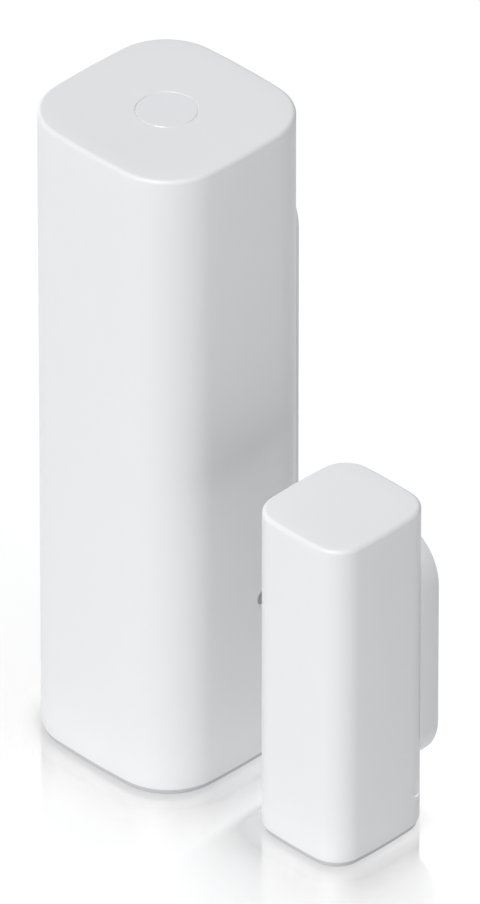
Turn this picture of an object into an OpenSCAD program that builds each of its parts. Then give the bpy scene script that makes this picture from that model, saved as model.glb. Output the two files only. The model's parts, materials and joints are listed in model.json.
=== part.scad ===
// Door contact sensor: a battery-powered sensor unit and the magnet unit that it watches.
// The origin is the centre of the sensor unit's base. The wall is towards +Y,
// the magnet unit stands on the +X side, and both units stand on the plane z = 0.

/* [Sensor housing] */
// Width of the sensor housing, side to side
sensor_w = 25; // [24.8:0.1:26]
// Depth of the sensor housing, front to back
sensor_d = 24.7; // [24.5:0.1:25.6]
// Height of the sensor housing above its base strip
sensor_h = 82.9; // [82.9:0.1:88]
// Radius of the sensor housing's upright corners
sensor_corner_r = 7.2; // [6.8:0.1:7.4]
// Radius of the slow outward bow of the sensor housing's sides
sensor_bow_r = 108; // [90:1:200]
// Thickness of the sensor housing's side walls
sensor_wall = 1.6; // [1.5:0.05:1.65]
// Thickness of the sensor housing's top
sensor_top = 1.8; // [1.6:0.1:2.2]

/* [Magnet housing] */
// Width of the magnet housing, side to side
magnet_w = 14.3; // [14:0.1:16]
// Depth of the magnet housing, front to back
magnet_d = 15.5; // [15.4:0.1:17]
// Height of the magnet housing above its base strip
magnet_h = 42.7; // [42.5:0.1:46]
// Radius of the magnet housing's upright corners
magnet_corner_r = 3.6; // [3.2:0.1:4]
// Radius of the slow outward bow of the magnet housing's sides
magnet_bow_r = 67.6; // [50:1:120]
// Thickness of the magnet housing's walls
magnet_wall = 1.2; // [1:0.05:1.25]
// Gap between the two housings when the door is shut
door_gap = 7.9; // [3:0.1:20]

/* [Base strips and edges] */
// Height of the base strip that shows below each housing
strip_h = 0.7; // [0.5:0.05:0.9]
// How far the base strip stands back from the housing's side
strip_inset = 0.3; // [0.2:0.05:0.5]
// Radius of the rounded edge round each housing's top
edge_r = 0.55; // [0.3:0.05:0.8]

/* [Wall brackets] */
// Half width of both brackets
bracket_half_w = 6.5; // [6.2:0.1:6.8]
// Thickness of the sensor's bracket plate
sensor_plate_t = 2; // [1.8:0.1:2.6]
// Height of the sensor's bracket
sensor_bracket_h = 56.9; // [56:0.1:60]
// Thickness of the magnet's bracket plate
magnet_plate_t = 1.2; // [1.2:0.1:1.8]
// Height of the magnet's bracket
magnet_bracket_h = 31.6; // [31:0.1:34]
// Thickness of the adhesive pads
pad_t = 0.3; // [0.2:0.05:0.6]
// Distance between the sensor bracket's two screw holes
sensor_hole_spacing = 46; // [45.5:0.5:47]
// Distance between the magnet bracket's two screw holes
magnet_hole_spacing = 22.4; // [22:0.1:23]

/* [Battery] */
// Diameter of the wrapped lithium cell
battery_d = 17; // [16.5:0.1:17]
// Length of the lithium cell with its terminal
battery_l = 34.5; // [33.5:0.1:34.5]

/* [Travel] */
// How far the tamper plunger is pressed in by the wall
tamper_travel = 0.9; // [0.5:0.1:0.9]

/* [Hidden] */

$fn = 48;
eps = 0.01;
side_steps = 4;       // chords in half of one bowed side
corner_steps = 16;    // chords round one upright corner
edge_steps = 4;       // levels up the rounded top edge

// Colours
white = [0.93, 0.94, 0.95];
soft_white = [0.86, 0.87, 0.88];
strip_grey = [0.78, 0.79, 0.80];
dot_grey = [0.45, 0.46, 0.47];
clear_grey = [0.90, 0.93, 0.95, 0.6];
seal_grey = [0.35, 0.36, 0.38];
steel = [0.72, 0.73, 0.75];
nickel = [0.78, 0.76, 0.70];
copper = [0.80, 0.50, 0.30];
gold = [0.85, 0.68, 0.32];
board_green = [0.07, 0.33, 0.20];
chip_black = [0.08, 0.08, 0.09];
ceramic_tan = [0.70, 0.58, 0.42];
wrap_blue = [0.16, 0.30, 0.52];
foam_grey = [0.40, 0.41, 0.43];

// Gap between pieces that nearly touch
fit_gap = 0.05;
// Gap round a screw or peg in its own hole
thread_gap = 0.02;

// Shapes: [x, half width, half depth, corner radius, bow radius]
sensor_a = sensor_w / 2;
sensor_b = sensor_d / 2;
magnet_x = sensor_a + door_gap + magnet_w / 2;
SENSOR = [0, sensor_a, sensor_b, sensor_corner_r, sensor_bow_r];
MAGNET = [magnet_x, magnet_w / 2, magnet_d / 2, magnet_corner_r, magnet_bow_r];

// Heights and inner faces of the housings
sensor_z = strip_h;
sensor_z_top = sensor_z + sensor_h;
cavity_z_top = sensor_z_top - sensor_top;
inner_y = sensor_b - sensor_wall;
magnet_z = strip_h;
magnet_z_top = magnet_z + magnet_h;
magnet_top = 1.4;

// Bracket plates stand just clear of the bowed backs of the housings
plate_gap = 0.1;
pad_inset = 0.6;
sensor_plate_y = sensor_b + plate_gap;
magnet_plate_y = magnet_d / 2 + plate_gap;
sensor_wall_y = sensor_plate_y + sensor_plate_t + pad_t;
sensor_bracket_z = sensor_z + sensor_h / 2;
magnet_bracket_z = magnet_z + magnet_h / 2;
tamper_opening_r = 1.8;

// Screw holes: [radius, radius of the countersink, its depth, radius of the pad's hole]
SENSOR_HOLE = [1.7, 3.2, 1.4, 4];
MAGNET_HOLE = [1.3, 2.4, 0.8, 2.6];

// How far the magnet's bracket reaches forwards round the housing's rear corners
bracket_reach = 2.6;

// Bracket hooks: a neck with a wider head, which slides up behind two lips. A hook set is
// [x, y of the housing's back, lip thickness, head thickness, hook height, travel, wall behind]
hook_neck_w = 3;
hook_head_w = 6.4;
hook_play = 0.15;
boss_edge = 1;
boss_root = 0.3;
boss_room = hook_head_w / 2 + hook_play + boss_edge + 0.3;
sensor_hooks = [sensor_bracket_z - 10, sensor_bracket_z + 10];
magnet_hooks = [magnet_bracket_z - 6, magnet_bracket_z + 6];
SENSOR_HOOK = [0, sensor_b, 1, 1.1, 2.5, 4, 0.75];
MAGNET_HOOK = [magnet_x, magnet_d / 2, 0.75, 0.9, 2, 3, 0.6];

// Battery, upright and a little to the left, with its terminal up
battery_x = -1.2;
battery_z = 8.3;
battery_r = battery_d / 2;
terminal_h = 1;
battery_top = battery_z + battery_l - terminal_h;
terminal_r = 3.1;
ring_r = 7.6;
ring_t = 0.3;
wrap_t = 0.15;
can_t = 0.3;

// Base cap: a plug with a seal, and the cradle that stands on it
plug_gap = 0.12;
plug_z_top = 5.6;
groove_z = 2.4;
groove_z_top = 4;
groove_inset = 2.6;
peg_r = 1;
peg_y = 5;
peg_z = 4.2;
cradle_gap = 0.2;
cradle_t = 0.75;
cradle_floor_r = 9;
cradle_floor_t = 0.7;
cradle_z_top = 39;
cradle_from = 130;
cradle_to = 290;
plate_t = 0.25;
tab_x = 8.1;
finger_z = 9;
spring_wire_r = 0.3;

// Circuit board, upright beside the battery, with its parts on the -X face
board_x = 9;
board_t = 1;
board_half_w = 7.3;
board_z = 7;
board_z_top = 80;
board_hole_y = 5.7;
board_hole_z = [49, 76];
board_screw_r = 0.7;
board_screw_l = 3.5;
board_screw_head_r = 1.2;
board_screw_head_h = 0.5;

// Ribs of the housing that guide the board's lower half
guide_x = 8.1;
guide_gap = 0.1;
guide_y = 8.6;
guide_reach = 1.6;
guide_z = 8;
guide_z_top = 42;

// Reed switch in a slot of the board, and the round mark in front of it
reed_y = 2.87;
reed_z = magnet_bracket_z;
reed_r = 0.9;
reed_l = 10;
reed_lead_r = 0.25;
reed_lead_l = 3.4;
reed_blade_t = 0.12;
reed_blade_gap = 0.1;
reed_blade_lap = 0.5;
reed_blade_z = 3.5;
dot_r = 1;
dot_t = 1;
dot_x = sensor_a - 0.15;

// Radio shield
shield_x = 6.8;
shield_y = -6.5;
shield_w = 8;
shield_z = 62;
shield_h = 12;
// Middles of the small chips, and rows of them: [y of the first, z, pitch]
chips_y = 3.6;
motion_chip_z = 70.5;
crystal_z = 65.5;
power_chip_z = 50;
capacitor_rows = [[-6, 75.4, 1.4], [-3, 46.9, 1.4]];
resistor_rows = [[0, 53.6, 1.3], [2.6, 62.4, 1.3]];

// Standing capacitor and antenna
capacitor_y = -4.4;
capacitor_z = 55;
antenna_x = 2;
antenna_y = -4.2;
antenna_r = 2.6;
antenna_z = 59.5;
antenna_z_top = 73;
antenna_turns = 7;
antenna_wire_r = 0.35;
wire_sides = 6;
coil_steps = 16;

// Pairing switch
pair_y = -5.2;
pair_z = 14;
pair_r = 0.75;

// Chassis, screwed up against two posts of the housing
chassis_z = 44.2;
chassis_floor_t = 1.2;
chassis_gap = 0.25;
chassis_z_top = 79;
chassis_screw_x = -8.1;
chassis_screw_y = 7.7;
chassis_screw_l = 7;
chassis_front_y = -9.2;
chassis_back_y = 6;
chassis_rail_t = 1;
rail_openings = [50.5, 59.5, 68.5];
post_r = 2.1;
post_x = 7.2;
screw_r = 0.9;
screw_head_r = 1.6;
screw_head_h = 1.1;

// Tamper plunger and its switch
tamper_x = 3.2;
tamper_z = 57;
tamper_r = 1.5;
tamper_play = 0.07;
tamper_stem_r = 0.9;
tamper_flange_r = 2.3;
tamper_flange_y = 9.6;
tamper_flange_t = 0.8;
tamper_end_y = 5.2;
tamper_tip_y = sensor_wall_y + tamper_travel;
tamper_coil_r = 1.45;
tamper_wire_r = 0.15;
switch_x = 4.9;
switch_y = -1;
switch_y_end = 3.4;
actuator_r = 0.5;

// Light path
window_r = 3.5;
window_t = 1;
pipe_r = 1.2;
pipe_z = 77.6;
pipe_head_r = 1.9;
pipe_flange_r = 3;
pipe_flange_t = 0.8;
led_x = 8;

// Magnet unit
bar_w = 6;
bar_d = 8;
bar_h = 28;
bar_y = -4.9;
bar_z = 8;
carrier_t = 0.9;
end_plug_z = 3.5;
dimple_r = 1.2;
dimple_x = 6.45;
dimple_y = 5.55;
dimple_z = 5.4;

// ---------------------------------------------------------------------------
// Shapes

// Points on an arc about c, both ends included
function arc(c, r, from, to, steps) =
    [for (i = [0:steps]) let (t = from + (to - from) * i / steps) c + r * [cos(t), sin(t)]];

// First quadrant of a shape's outline: a rounded rectangle whose sides bow outwards.
// A shape is [x, half width, half depth, corner radius, bow radius]. The bowed sides meet
// the corner arcs smoothly, and an inset keeps every arc's centre.
function quarter(shape, inset) =
    let (
        r = shape[3],
        bow = shape[4],
        side = [shape[1] - bow, 0],
        end = [0, shape[2] - bow],
        half = (end - side) / 2,
        rise = sqrt(pow(bow - r, 2) - half * half),
        corner = side + half + rise * [-half[1], half[0]] / norm(half),
        t1 = atan2(corner[1] - side[1], corner[0] - side[0]),
        t2 = atan2(corner[1] - end[1], corner[0] - end[0])
    )
    [
        each arc(side, bow - inset, 0, t1, side_steps),
        for (i = [1:corner_steps - 1])
            arc(corner, r - inset, t1, t2, corner_steps)[i],
        each arc(end, bow - inset, t2, 90, side_steps)
    ];

// The other quadrants mirror the first
function outline(shape, inset) =
    let (q = quarter(shape, inset), n = len(q) - 1)
    [
        for (i = [0:n - 1]) q[i],
        for (i = [n:-1:1]) [-q[i][0], q[i][1]],
        for (i = [0:n - 1]) -q[i],
        for (i = [n:-1:1]) [q[i][0], -q[i][1]]
    ];

// Upright prism of a shape
module prism(shape, z0, z1, inset = 0) {
    translate([shape[0], 0, z0])
        linear_extrude(z1 - z0) polygon(outline(shape, inset));
}

// Solid body of a housing, with its top edge rounded
module rounded_body(shape, z0, z1) {
    prism(shape, z0, z1 - edge_r);
    hull()
        for (i = [0:edge_steps]) {
            level = z1 - edge_r + edge_r * sin(90 * i / edge_steps);
            prism(shape, level - eps, level, edge_r * (1 - cos(90 * i / edge_steps)));
        }
}

// Box given by its lowest and highest corners
module box(low, high) {
    translate(low) cube(high - low);
}

// Cylinders along each axis
module rod_x(r, x0, x1, y, z) {
    translate([x0, y, z]) rotate([0, 90, 0]) cylinder(r = r, h = x1 - x0);
}

module rod_y(r, y0, y1, x, z) {
    translate([x, y1, z]) rotate([90, 0, 0]) cylinder(r = r, h = y1 - y0);
}

module rod_z(r, z0, z1, x, y) {
    translate([x, y, z0]) cylinder(r = r, h = z1 - z0);
}

// Round-ended plate in the XZ plane
module stadium(half_w, h, y0, y1, x, z) {
    reach = h / 2 - half_w;
    box([x - half_w, y0, z - reach], [x + half_w, y1, z + reach]);
    for (s = [-1, 1])
        rod_y(half_w, y0, y1, x, z + s * reach);
}

// A wire: rings of points swept along a path
function unit(v) = v / norm(v);
function tangent(path, i) =
    unit(path[min(i + 1, len(path) - 1)] - path[max(i - 1, 0)]);
function ring(c, t, r) =
    let (u = unit(cross([0, 0.1, 1], t)), w = cross(t, u))
    [for (j = [0:wire_sides - 1])
        let (a = 360 * j / wire_sides)
        c + r * (cos(a) * u + sin(a) * w)];

module wire(path, r) {
    n = len(path);
    s = wire_sides;
    polyhedron(
        [for (i = [0:n - 1]) each ring(path[i], tangent(path, i), r)],
        [
            [for (j = [0:s - 1]) j],
            for (i = [0:n - 2], j = [0:s - 1])
                let (a = i * s + j, b = i * s + (j + 1) % s)
                [a, a + s, b + s, b],
            [for (j = [s - 1:-1:0]) (n - 1) * s + j]
        ],
        convexity = 6
    );
}

// Points up a coil about the Z axis whose radius runs from r0 to r1
function coil(r0, r1, z0, z1, turns) =
    let (n = turns * coil_steps)
    [for (i = [0:n])
        let (r = r0 + (r1 - r0) * i / n, a = 90 + 360 * i / coil_steps)
        [r * cos(a), r * sin(a), z0 + (z1 - z0) * i / n]];

// ---------------------------------------------------------------------------
// Bracket hooks and their pockets. A hook set is
// [x, y of the housing's back, lip thickness, head thickness, hook height, travel, wall behind].

function lip_y(set) = set[1] - set[2];
function pocket_floor_y(set) = lip_y(set) - set[3] - 2 * hook_play;
function pocket_low(set, z) = z - set[4] / 2 - set[5] - hook_play;
function pocket_high(set, z) = z + set[4] / 2 + hook_play;

module hook(set, plate_y, z) {
    head_y = lip_y(set) - hook_play;
    half_h = set[4] / 2;
    box(
        [set[0] - hook_neck_w / 2, head_y - eps, z - half_h],
        [set[0] + hook_neck_w / 2, plate_y + eps, z + half_h]
    );
    box(
        [set[0] - hook_head_w / 2, head_y - set[3], z - half_h],
        [set[0] + hook_head_w / 2, head_y, z + half_h]
    );
}

// The cut for one hook: a channel for its head, a slot for its neck, and the way in below
module hook_pocket(set, z) {
    head_w = hook_head_w / 2 + hook_play;
    neck_w = hook_neck_w / 2 + hook_play;
    out_y = set[1] + 1;
    low = pocket_low(set, z);
    high = pocket_high(set, z);
    box([set[0] - head_w, pocket_floor_y(set), low], [set[0] + head_w, lip_y(set), high]);
    box([set[0] - neck_w, lip_y(set) - eps, low], [set[0] + neck_w, out_y, high]);
    box([set[0] - head_w, lip_y(set) - eps, low], [set[0] + head_w, out_y, high - set[5]]);
}

// The thickening inside the housing that closes a pocket off from the inside
module pocket_boss(set, wall, z) {
    half_w = hook_head_w / 2 + hook_play + boss_edge;
    box(
        [set[0] - half_w, pocket_floor_y(set) - set[6], pocket_low(set, z) - boss_edge],
        [set[0] + half_w, set[1] - wall + boss_root, pocket_high(set, z) + boss_edge]
    );
}

// ---------------------------------------------------------------------------
// Sensor housing and what is fixed in it

// Sleeve that is closed at the top and open below, with two hook pockets in its back
module sensor_housing() {
    color(white)
    difference() {
        union() {
            difference() {
                rounded_body(SENSOR, sensor_z, sensor_z_top);
                prism(SENSOR, sensor_z - 1, cavity_z_top, sensor_wall);
            }
            for (z = sensor_hooks)
                pocket_boss(SENSOR_HOOK, sensor_wall, z);
            for (y = [-chassis_screw_y, chassis_screw_y])
                rod_z(post_r, chassis_z + chassis_floor_t, cavity_z_top + eps, chassis_screw_x, y);
            for (s = [-1, 1])
                translate([0, s * guide_y, 0])
                    box([guide_x, -guide_reach, guide_z], [board_x - guide_gap, guide_reach, guide_z_top]);
        }
        for (z = sensor_hooks)
            hook_pocket(SENSOR_HOOK, z);
        for (y = [-chassis_screw_y, chassis_screw_y])
            rod_z(
                screw_r + thread_gap, chassis_z + chassis_floor_t - eps,
                chassis_z + chassis_floor_t + chassis_screw_l, chassis_screw_x, y
            );
        rod_z(window_r + fit_gap, sensor_z_top - window_t, sensor_z_top + 1, 0, 0);
        rod_z(pipe_head_r + fit_gap, cavity_z_top - 1, sensor_z_top, 0, 0);
        rod_x(dot_r + fit_gap, dot_x - dot_t, sensor_a + 1, reed_y, reed_z);
        rod_y(tamper_r + tamper_play, inner_y - 1, sensor_b + 1, tamper_x, tamper_z);
    }
}

// Round mark on the side, in front of the reed switch: the magnet's middle goes here
module alignment_dot() {
    color(dot_grey)
        rod_x(dot_r, dot_x - dot_t, dot_x, reed_y, reed_z);
}

// Flush round window in the top that the status light shines through
module status_window() {
    color(soft_white)
        rod_z(window_r, sensor_z_top - window_t, sensor_z_top, 0, 0);
}

// Clear rod with an elbow that carries light from the board up to the window
module light_pipe() {
    color(clear_grey)
    difference() {
        union() {
            rod_z(pipe_head_r, cavity_z_top - eps, sensor_z_top - window_t, 0, 0);
            rod_z(pipe_flange_r, cavity_z_top - pipe_flange_t, cavity_z_top, 0, 0);
            rod_z(pipe_r, pipe_z, cavity_z_top - pipe_flange_t + eps, 0, 0);
            rod_x(pipe_r, 0, led_x - fit_gap, 0, pipe_z);
        }
        // sloping face that turns the light upwards
        translate([0, 0, pipe_z])
            rotate([0, -45, 0])
                box([-4, -2, -4], [0, 2, 4]);
    }
}

// Moulded frame that holds the board: a floor above the battery and two rails
module chassis() {
    rail_x = chassis_screw_x + post_r + chassis_gap;
    board_side = board_x - guide_gap;
    color(soft_white)
    difference() {
        intersection() {
            prism(SENSOR, chassis_z, chassis_z_top, sensor_wall + chassis_gap);
            union() {
                box([-sensor_a, -sensor_b, chassis_z], [board_side, sensor_b, chassis_z + chassis_floor_t]);
                for (y = [chassis_front_y, chassis_back_y])
                    box([rail_x, y, chassis_z], [board_side, y + chassis_rail_t, chassis_z_top]);
                for (i = [0, 1])
                    translate([0, (2 * i - 1) * board_hole_y, board_hole_z[i]])
                        box([post_x, -2.5, -2], [board_side, 2.5, 2]);
            }
        }
        // openings that leave each rail as a ladder
        for (z = rail_openings, x = [rail_x + 1.5, rail_x + 8])
            if (abs(z - tamper_z) > 5)
                box([x, chassis_front_y - 1, z - 3.5], [x + 5, chassis_back_y + 2, z + 3.5]);
        // room for the housing's pocket bosses when the chassis goes in from below
        box(
            [-boss_room, pocket_floor_y(SENSOR_HOOK) - 1, chassis_z - 1],
            [boss_room, sensor_b, chassis_z_top]
        );
        for (y = [-chassis_screw_y, chassis_screw_y])
            rod_z(screw_r + 0.1, chassis_z - 1, chassis_z + 3, chassis_screw_x, y);
        for (i = [0, 1])
            rod_x(
                board_screw_r + thread_gap, board_x - board_screw_l, board_x,
                (2 * i - 1) * board_hole_y, board_hole_z[i]
            );
        rod_y(tamper_stem_r + 0.1, chassis_back_y - 1, chassis_back_y + 2, tamper_x, tamper_z);
    }
}

// Two screws that hold the chassis up against the housing's posts
module chassis_screws() {
    color(steel)
    for (y = [-chassis_screw_y, chassis_screw_y]) {
        rod_z(
            screw_r, chassis_z - eps, chassis_z + chassis_floor_t + chassis_screw_l - 1,
            chassis_screw_x, y
        );
        difference() {
            rod_z(screw_head_r, chassis_z - screw_head_h, chassis_z, chassis_screw_x, y);
            translate([chassis_screw_x, y, chassis_z - screw_head_h - eps])
                cylinder(r = 0.6, h = 0.6, $fn = 6);
        }
    }
}

// ---------------------------------------------------------------------------
// Circuit board and its parts

module main_board() {
    color(board_green)
    difference() {
        box([board_x, -board_half_w, board_z], [board_x + board_t, board_half_w, board_z_top]);
        // slot for the reed switch and channels for its leads
        box(
            [board_x - 1, reed_y - reed_r - 0.15, reed_z - reed_l / 2 - 0.3],
            [board_x + 2, reed_y + reed_r + 0.15, reed_z + reed_l / 2 + 0.3]
        );
        box(
            [board_x - 1, reed_y - reed_lead_r - 0.1, reed_z - reed_l / 2 - reed_lead_l - 0.1],
            [board_x + 2, reed_y + reed_lead_r + 0.1, reed_z + reed_l / 2 + reed_lead_l + 0.1]
        );
        for (i = [0, 1])
            rod_x(
                board_screw_r + 0.1, board_x - 1, board_x + 2,
                (2 * i - 1) * board_hole_y, board_hole_z[i]
            );
    }
}

// Two screws that hold the board to the chassis
module board_screws() {
    color(steel)
    for (i = [0, 1])
        translate([0, (2 * i - 1) * board_hole_y, board_hole_z[i]]) {
            rod_x(board_screw_r, board_x - board_screw_l + 0.5, board_x + board_t + eps, 0, 0);
            difference() {
                rod_x(board_screw_head_r, board_x + board_t, board_x + board_t + board_screw_head_h, 0, 0);
                rod_x(0.4, board_x + board_t + 0.2, board_x + board_t + 1, 0, 0);
            }
        }
}

// Glass envelope of the reed switch, standing in the board's slot
module reed_glass() {
    x = board_x + board_t / 2;
    color(clear_grey)
    difference() {
        rod_z(reed_r, reed_z - reed_l / 2, reed_z + reed_l / 2, x, reed_y);
        rod_z(reed_r - 0.3, reed_z - reed_l / 2 + 1, reed_z + reed_l / 2 - 1, x, reed_y);
        rod_z(reed_lead_r, reed_z - reed_l / 2 - 1, reed_z + reed_l / 2 + 1, x, reed_y);
    }
}

// The two leads, which end as flat blades that overlap inside the glass
module reed_leads() {
    x = board_x + board_t / 2;
    end = reed_l / 2 + reed_lead_l;
    color(nickel)
    for (s = [-1, 1])
        translate([x, reed_y, reed_z])
            mirror([0, 0, s < 0 ? 1 : 0]) {
                rod_z(reed_lead_r, reed_blade_z, end, 0, 0);
                box(
                    [s * reed_blade_gap - reed_blade_t / 2, -0.3, -reed_blade_lap],
                    [s * reed_blade_gap + reed_blade_t / 2, 0.3, reed_blade_z + 0.5]
                );
            }
}

// Pressed metal can over the radio chip
module radio_shield() {
    t = 0.2;
    color(steel)
    difference() {
        box([shield_x, shield_y, shield_z], [board_x, shield_y + shield_w, shield_z + shield_h]);
        box(
            [shield_x + t, shield_y + t, shield_z + t],
            [board_x + 1, shield_y + shield_w - t, shield_z + shield_h - t]
        );
        for (i = [0:2], j = [0:3])
            rod_x(0.4, shield_x - 1, shield_x + 1, shield_y + 2 + 2 * i, shield_z + 3 + 2 * j);
    }
}

// Flat chip on the board: size is [width, height, thickness]
module chip(y, z, size) {
    box(
        [board_x - size[2], y - size[0] / 2, z - size[1] / 2],
        [board_x, y + size[0] / 2, z + size[1] / 2]
    );
}

module radio_chip() {
    color(chip_black)
        chip(shield_y + shield_w / 2, shield_z + shield_h / 2, [5, 5, 0.9]);
}

// Chip that senses knocks and tilt
module motion_chip() {
    color(chip_black)
        chip(chips_y, motion_chip_z, [2.5, 3, 0.9]);
}

// Voltage regulator
module power_chip() {
    color(chip_black)
        chip(0, power_chip_z, [2.5, 2.5, 0.8]);
}

module crystal() {
    color(nickel) {
        chip(chips_y, crystal_z, [2.5, 3.2, 0.5]);
        chip(chips_y, crystal_z, [2.1, 2.8, 0.8]);
    }
}

// Standing can that feeds the radio's short bursts of current
module buffer_capacitor() {
    color(steel)
    difference() {
        rod_x(2.5, board_x - 5.4, board_x - 0.2, capacitor_y, capacitor_z);
        difference() {
            rod_x(3, board_x - 1.6, board_x - 1.2, capacitor_y, capacitor_z);
            rod_x(2.3, board_x - 2, board_x - 1, capacitor_y, capacitor_z);
        }
    }
    color(chip_black)
        chip(capacitor_y, capacitor_z, [5, 5, 0.2]);
}

module ceramic_capacitors() {
    color(ceramic_tan)
        for (row = capacitor_rows, i = [0:4])
            chip(row[0] + row[2] * i, row[1], [0.5, 1, 0.5]);
}

module chip_resistors() {
    color(chip_black)
        for (row = resistor_rows, i = [0:2])
            chip(row[0] + row[2] * i, row[1], [0.5, 1, 0.35]);
}

// Light source that faces the end of the light pipe
module status_led() {
    color(soft_white)
        box([led_x, -0.8, pipe_z - 0.6], [board_x, 0.8, pipe_z + 0.6]);
}

// Coiled antenna with a straight leg to the board
module antenna_coil() {
    color(copper)
        translate([antenna_x, antenna_y, 0])
            wire(
                [
                    [board_x - antenna_x, antenna_r, antenna_z],
                    [1, antenna_r, antenna_z],
                    each coil(antenna_r, antenna_r, antenna_z, antenna_z_top, antenna_turns)
                ],
                antenna_wire_r
            );
}

// Body of the pairing switch, reached through the battery space
module pair_switch() {
    color(steel)
    difference() {
        chip(pair_y, pair_z, [3.2, 3.2, 1.1]);
        rod_x(pair_r + 0.05, board_x - 2, board_x - 0.5, pair_y, pair_z);
    }
}

module pair_button() {
    color(chip_black)
        rod_x(pair_r, board_x - 1.9, board_x - 0.8, pair_y, pair_z);
}

// ---------------------------------------------------------------------------
// Tamper switch: the wall presses a plunger in, and a spring pushes it out

module tamper_switch() {
    color(chip_black)
    difference() {
        box([switch_x, switch_y, tamper_z - 2.3], [board_x, switch_y_end, tamper_z + 2.3]);
        rod_y(actuator_r + 0.05, switch_y + 3, switch_y_end + 1, switch_x + 1.2, tamper_z);
    }
}

// Sprung tab of the switch, which the plunger pushes
module tamper_actuator() {
    color(soft_white) {
        rod_y(actuator_r, switch_y_end - 0.2, tamper_end_y - 0.5, switch_x + 1.2, tamper_z);
        box(
            [tamper_x - tamper_stem_r, tamper_end_y - 0.7, tamper_z - 0.7],
            [switch_x + 2, tamper_end_y - 0.1, tamper_z + 0.7]
        );
    }
}

module tamper_plunger() {
    color(soft_white) {
        rod_y(tamper_stem_r, tamper_end_y, tamper_flange_y, tamper_x, tamper_z);
        rod_y(tamper_flange_r, tamper_flange_y - eps, tamper_flange_y + tamper_flange_t, tamper_x, tamper_z);
        rod_y(tamper_r, tamper_flange_y, tamper_tip_y, tamper_x, tamper_z);
    }
}

module tamper_spring() {
    start = chassis_back_y + chassis_rail_t + tamper_wire_r + fit_gap;
    end = tamper_flange_y - tamper_wire_r - fit_gap;
    color(steel)
        translate([tamper_x, 0, tamper_z])
            rotate([-90, 0, 0])
                wire(coil(tamper_coil_r, tamper_coil_r, start, end, 3), tamper_wire_r);
}

// ---------------------------------------------------------------------------
// Battery contacts, base cap and battery

// Strip under the chassis floor with a raised button for the battery's end
module positive_contact() {
    color(nickel) {
        box([battery_x - 3, -2.5, chassis_z - plate_t], [board_x - fit_gap, 2.5, chassis_z]);
        rod_z(2, battery_z + battery_l + 0.1, chassis_z - plate_t + eps, battery_x, 0);
        box([board_x - fit_gap - plate_t, -2.5, chassis_z - 2.5], [board_x - fit_gap, 2.5, chassis_z]);
    }
}

// Sprung finger on the board that meets the cap's contact plate
module contact_finger() {
    color(gold)
    difference() {
        union() {
            chip(0, finger_z, [3, 3, plate_t]);
            rod_y(0.5, -1.5, 1.5, board_x - 0.1, finger_z);
        }
        box([board_x, -2, finger_z - 2], [board_x + 1, 2, finger_z + 2]);
    }
}

// Cap that closes the housing from below, with the base strip round its foot
module base_cap() {
    color(strip_grey)
    difference() {
        union() {
            prism(SENSOR, 0, strip_h - fit_gap, strip_inset);
            prism(SENSOR, 0, plug_z_top, sensor_wall + plug_gap);
        }
        difference() {
            prism(SENSOR, groove_z, groove_z_top);
            prism(SENSOR, groove_z - 1, groove_z_top + 1, groove_inset);
        }
        for (s = [-1, 1])
            rod_z(peg_r + thread_gap, peg_z, plug_z_top + 1, battery_x, s * peg_y);
        // notch for a fingernail at the back of the foot
        box([-4, sensor_b - 1.4, -1], [4, sensor_b + 1, strip_h - 0.25]);
    }
}

// Seal in the cap's groove
module cap_gasket() {
    color(seal_grey)
    difference() {
        prism(SENSOR, groove_z + fit_gap, groove_z_top - fit_gap, sensor_wall + fit_gap);
        prism(SENSOR, groove_z - 1, groove_z_top + 1, groove_inset - thread_gap);
    }
}

// Tray on the cap that carries the battery: a floor and a curved back
module battery_cradle() {
    r0 = battery_r + cradle_gap;
    z0 = plug_z_top;
    color(soft_white)
    translate([battery_x, 0, 0])
    difference() {
        union() {
            rod_z(cradle_floor_r, z0, z0 + cradle_floor_t, 0, 0);
            intersection() {
                rod_z(r0 + cradle_t, z0, cradle_z_top, 0, 0);
                translate([0, 0, z0])
                    linear_extrude(cradle_z_top)
                        polygon([[0, 0], each arc([0, 0], 2 * r0, cradle_from, cradle_to, 4)]);
            }
            for (s = [-1, 1])
                rod_z(peg_r, peg_z + 0.2, z0 + eps, 0, s * peg_y);
        }
        rod_z(r0, z0 + cradle_floor_t, cradle_z_top + 1, 0, 0);
        // window to push the battery out through
        box([-sensor_a, -3.5, 15], [-4, 2.5, 33]);
    }
}

// Metal plate on the cradle's floor, with a tab that stands up by the board
module contact_plate() {
    z0 = plug_z_top + cradle_floor_t;
    color(nickel) {
        rod_z(4.6, z0, z0 + plate_t, battery_x, 0);
        box([battery_x, -1.5, z0], [tab_x + plate_t, 1.5, z0 + plate_t]);
        box([tab_x, -1.5, z0], [tab_x + plate_t, 1.5, z0 + 3.4]);
    }
}

// Conical spring that presses the battery up
module negative_spring() {
    z0 = plug_z_top + cradle_floor_t + plate_t;
    color(steel)
        translate([battery_x, 0, 0])
            wire(
                coil(3.9, 2.3, z0 + spring_wire_r, battery_z - spring_wire_r - fit_gap, 2.5),
                spring_wire_r
            );
}

module battery_can() {
    r = battery_r - wrap_t;
    color(steel)
    difference() {
        rod_z(r, battery_z, battery_top, battery_x, 0);
        rod_z(r - can_t, battery_z + can_t, battery_top - can_t, battery_x, 0);
    }
}

// Wound cell inside the can
module battery_core() {
    color(foam_grey)
        rod_z(
            battery_r - wrap_t - can_t - fit_gap, battery_z + can_t + fit_gap,
            battery_top - can_t - fit_gap, battery_x, 0
        );
}

// Printed film round the can, here left plain, which folds over its two ends
module battery_wrap() {
    color(wrap_blue)
    difference() {
        rod_z(battery_r, battery_z + 0.3, battery_top - 0.3, battery_x, 0);
        rod_z(battery_r - wrap_t, battery_z - 1, battery_top + 1, battery_x, 0);
    }
}

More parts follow.
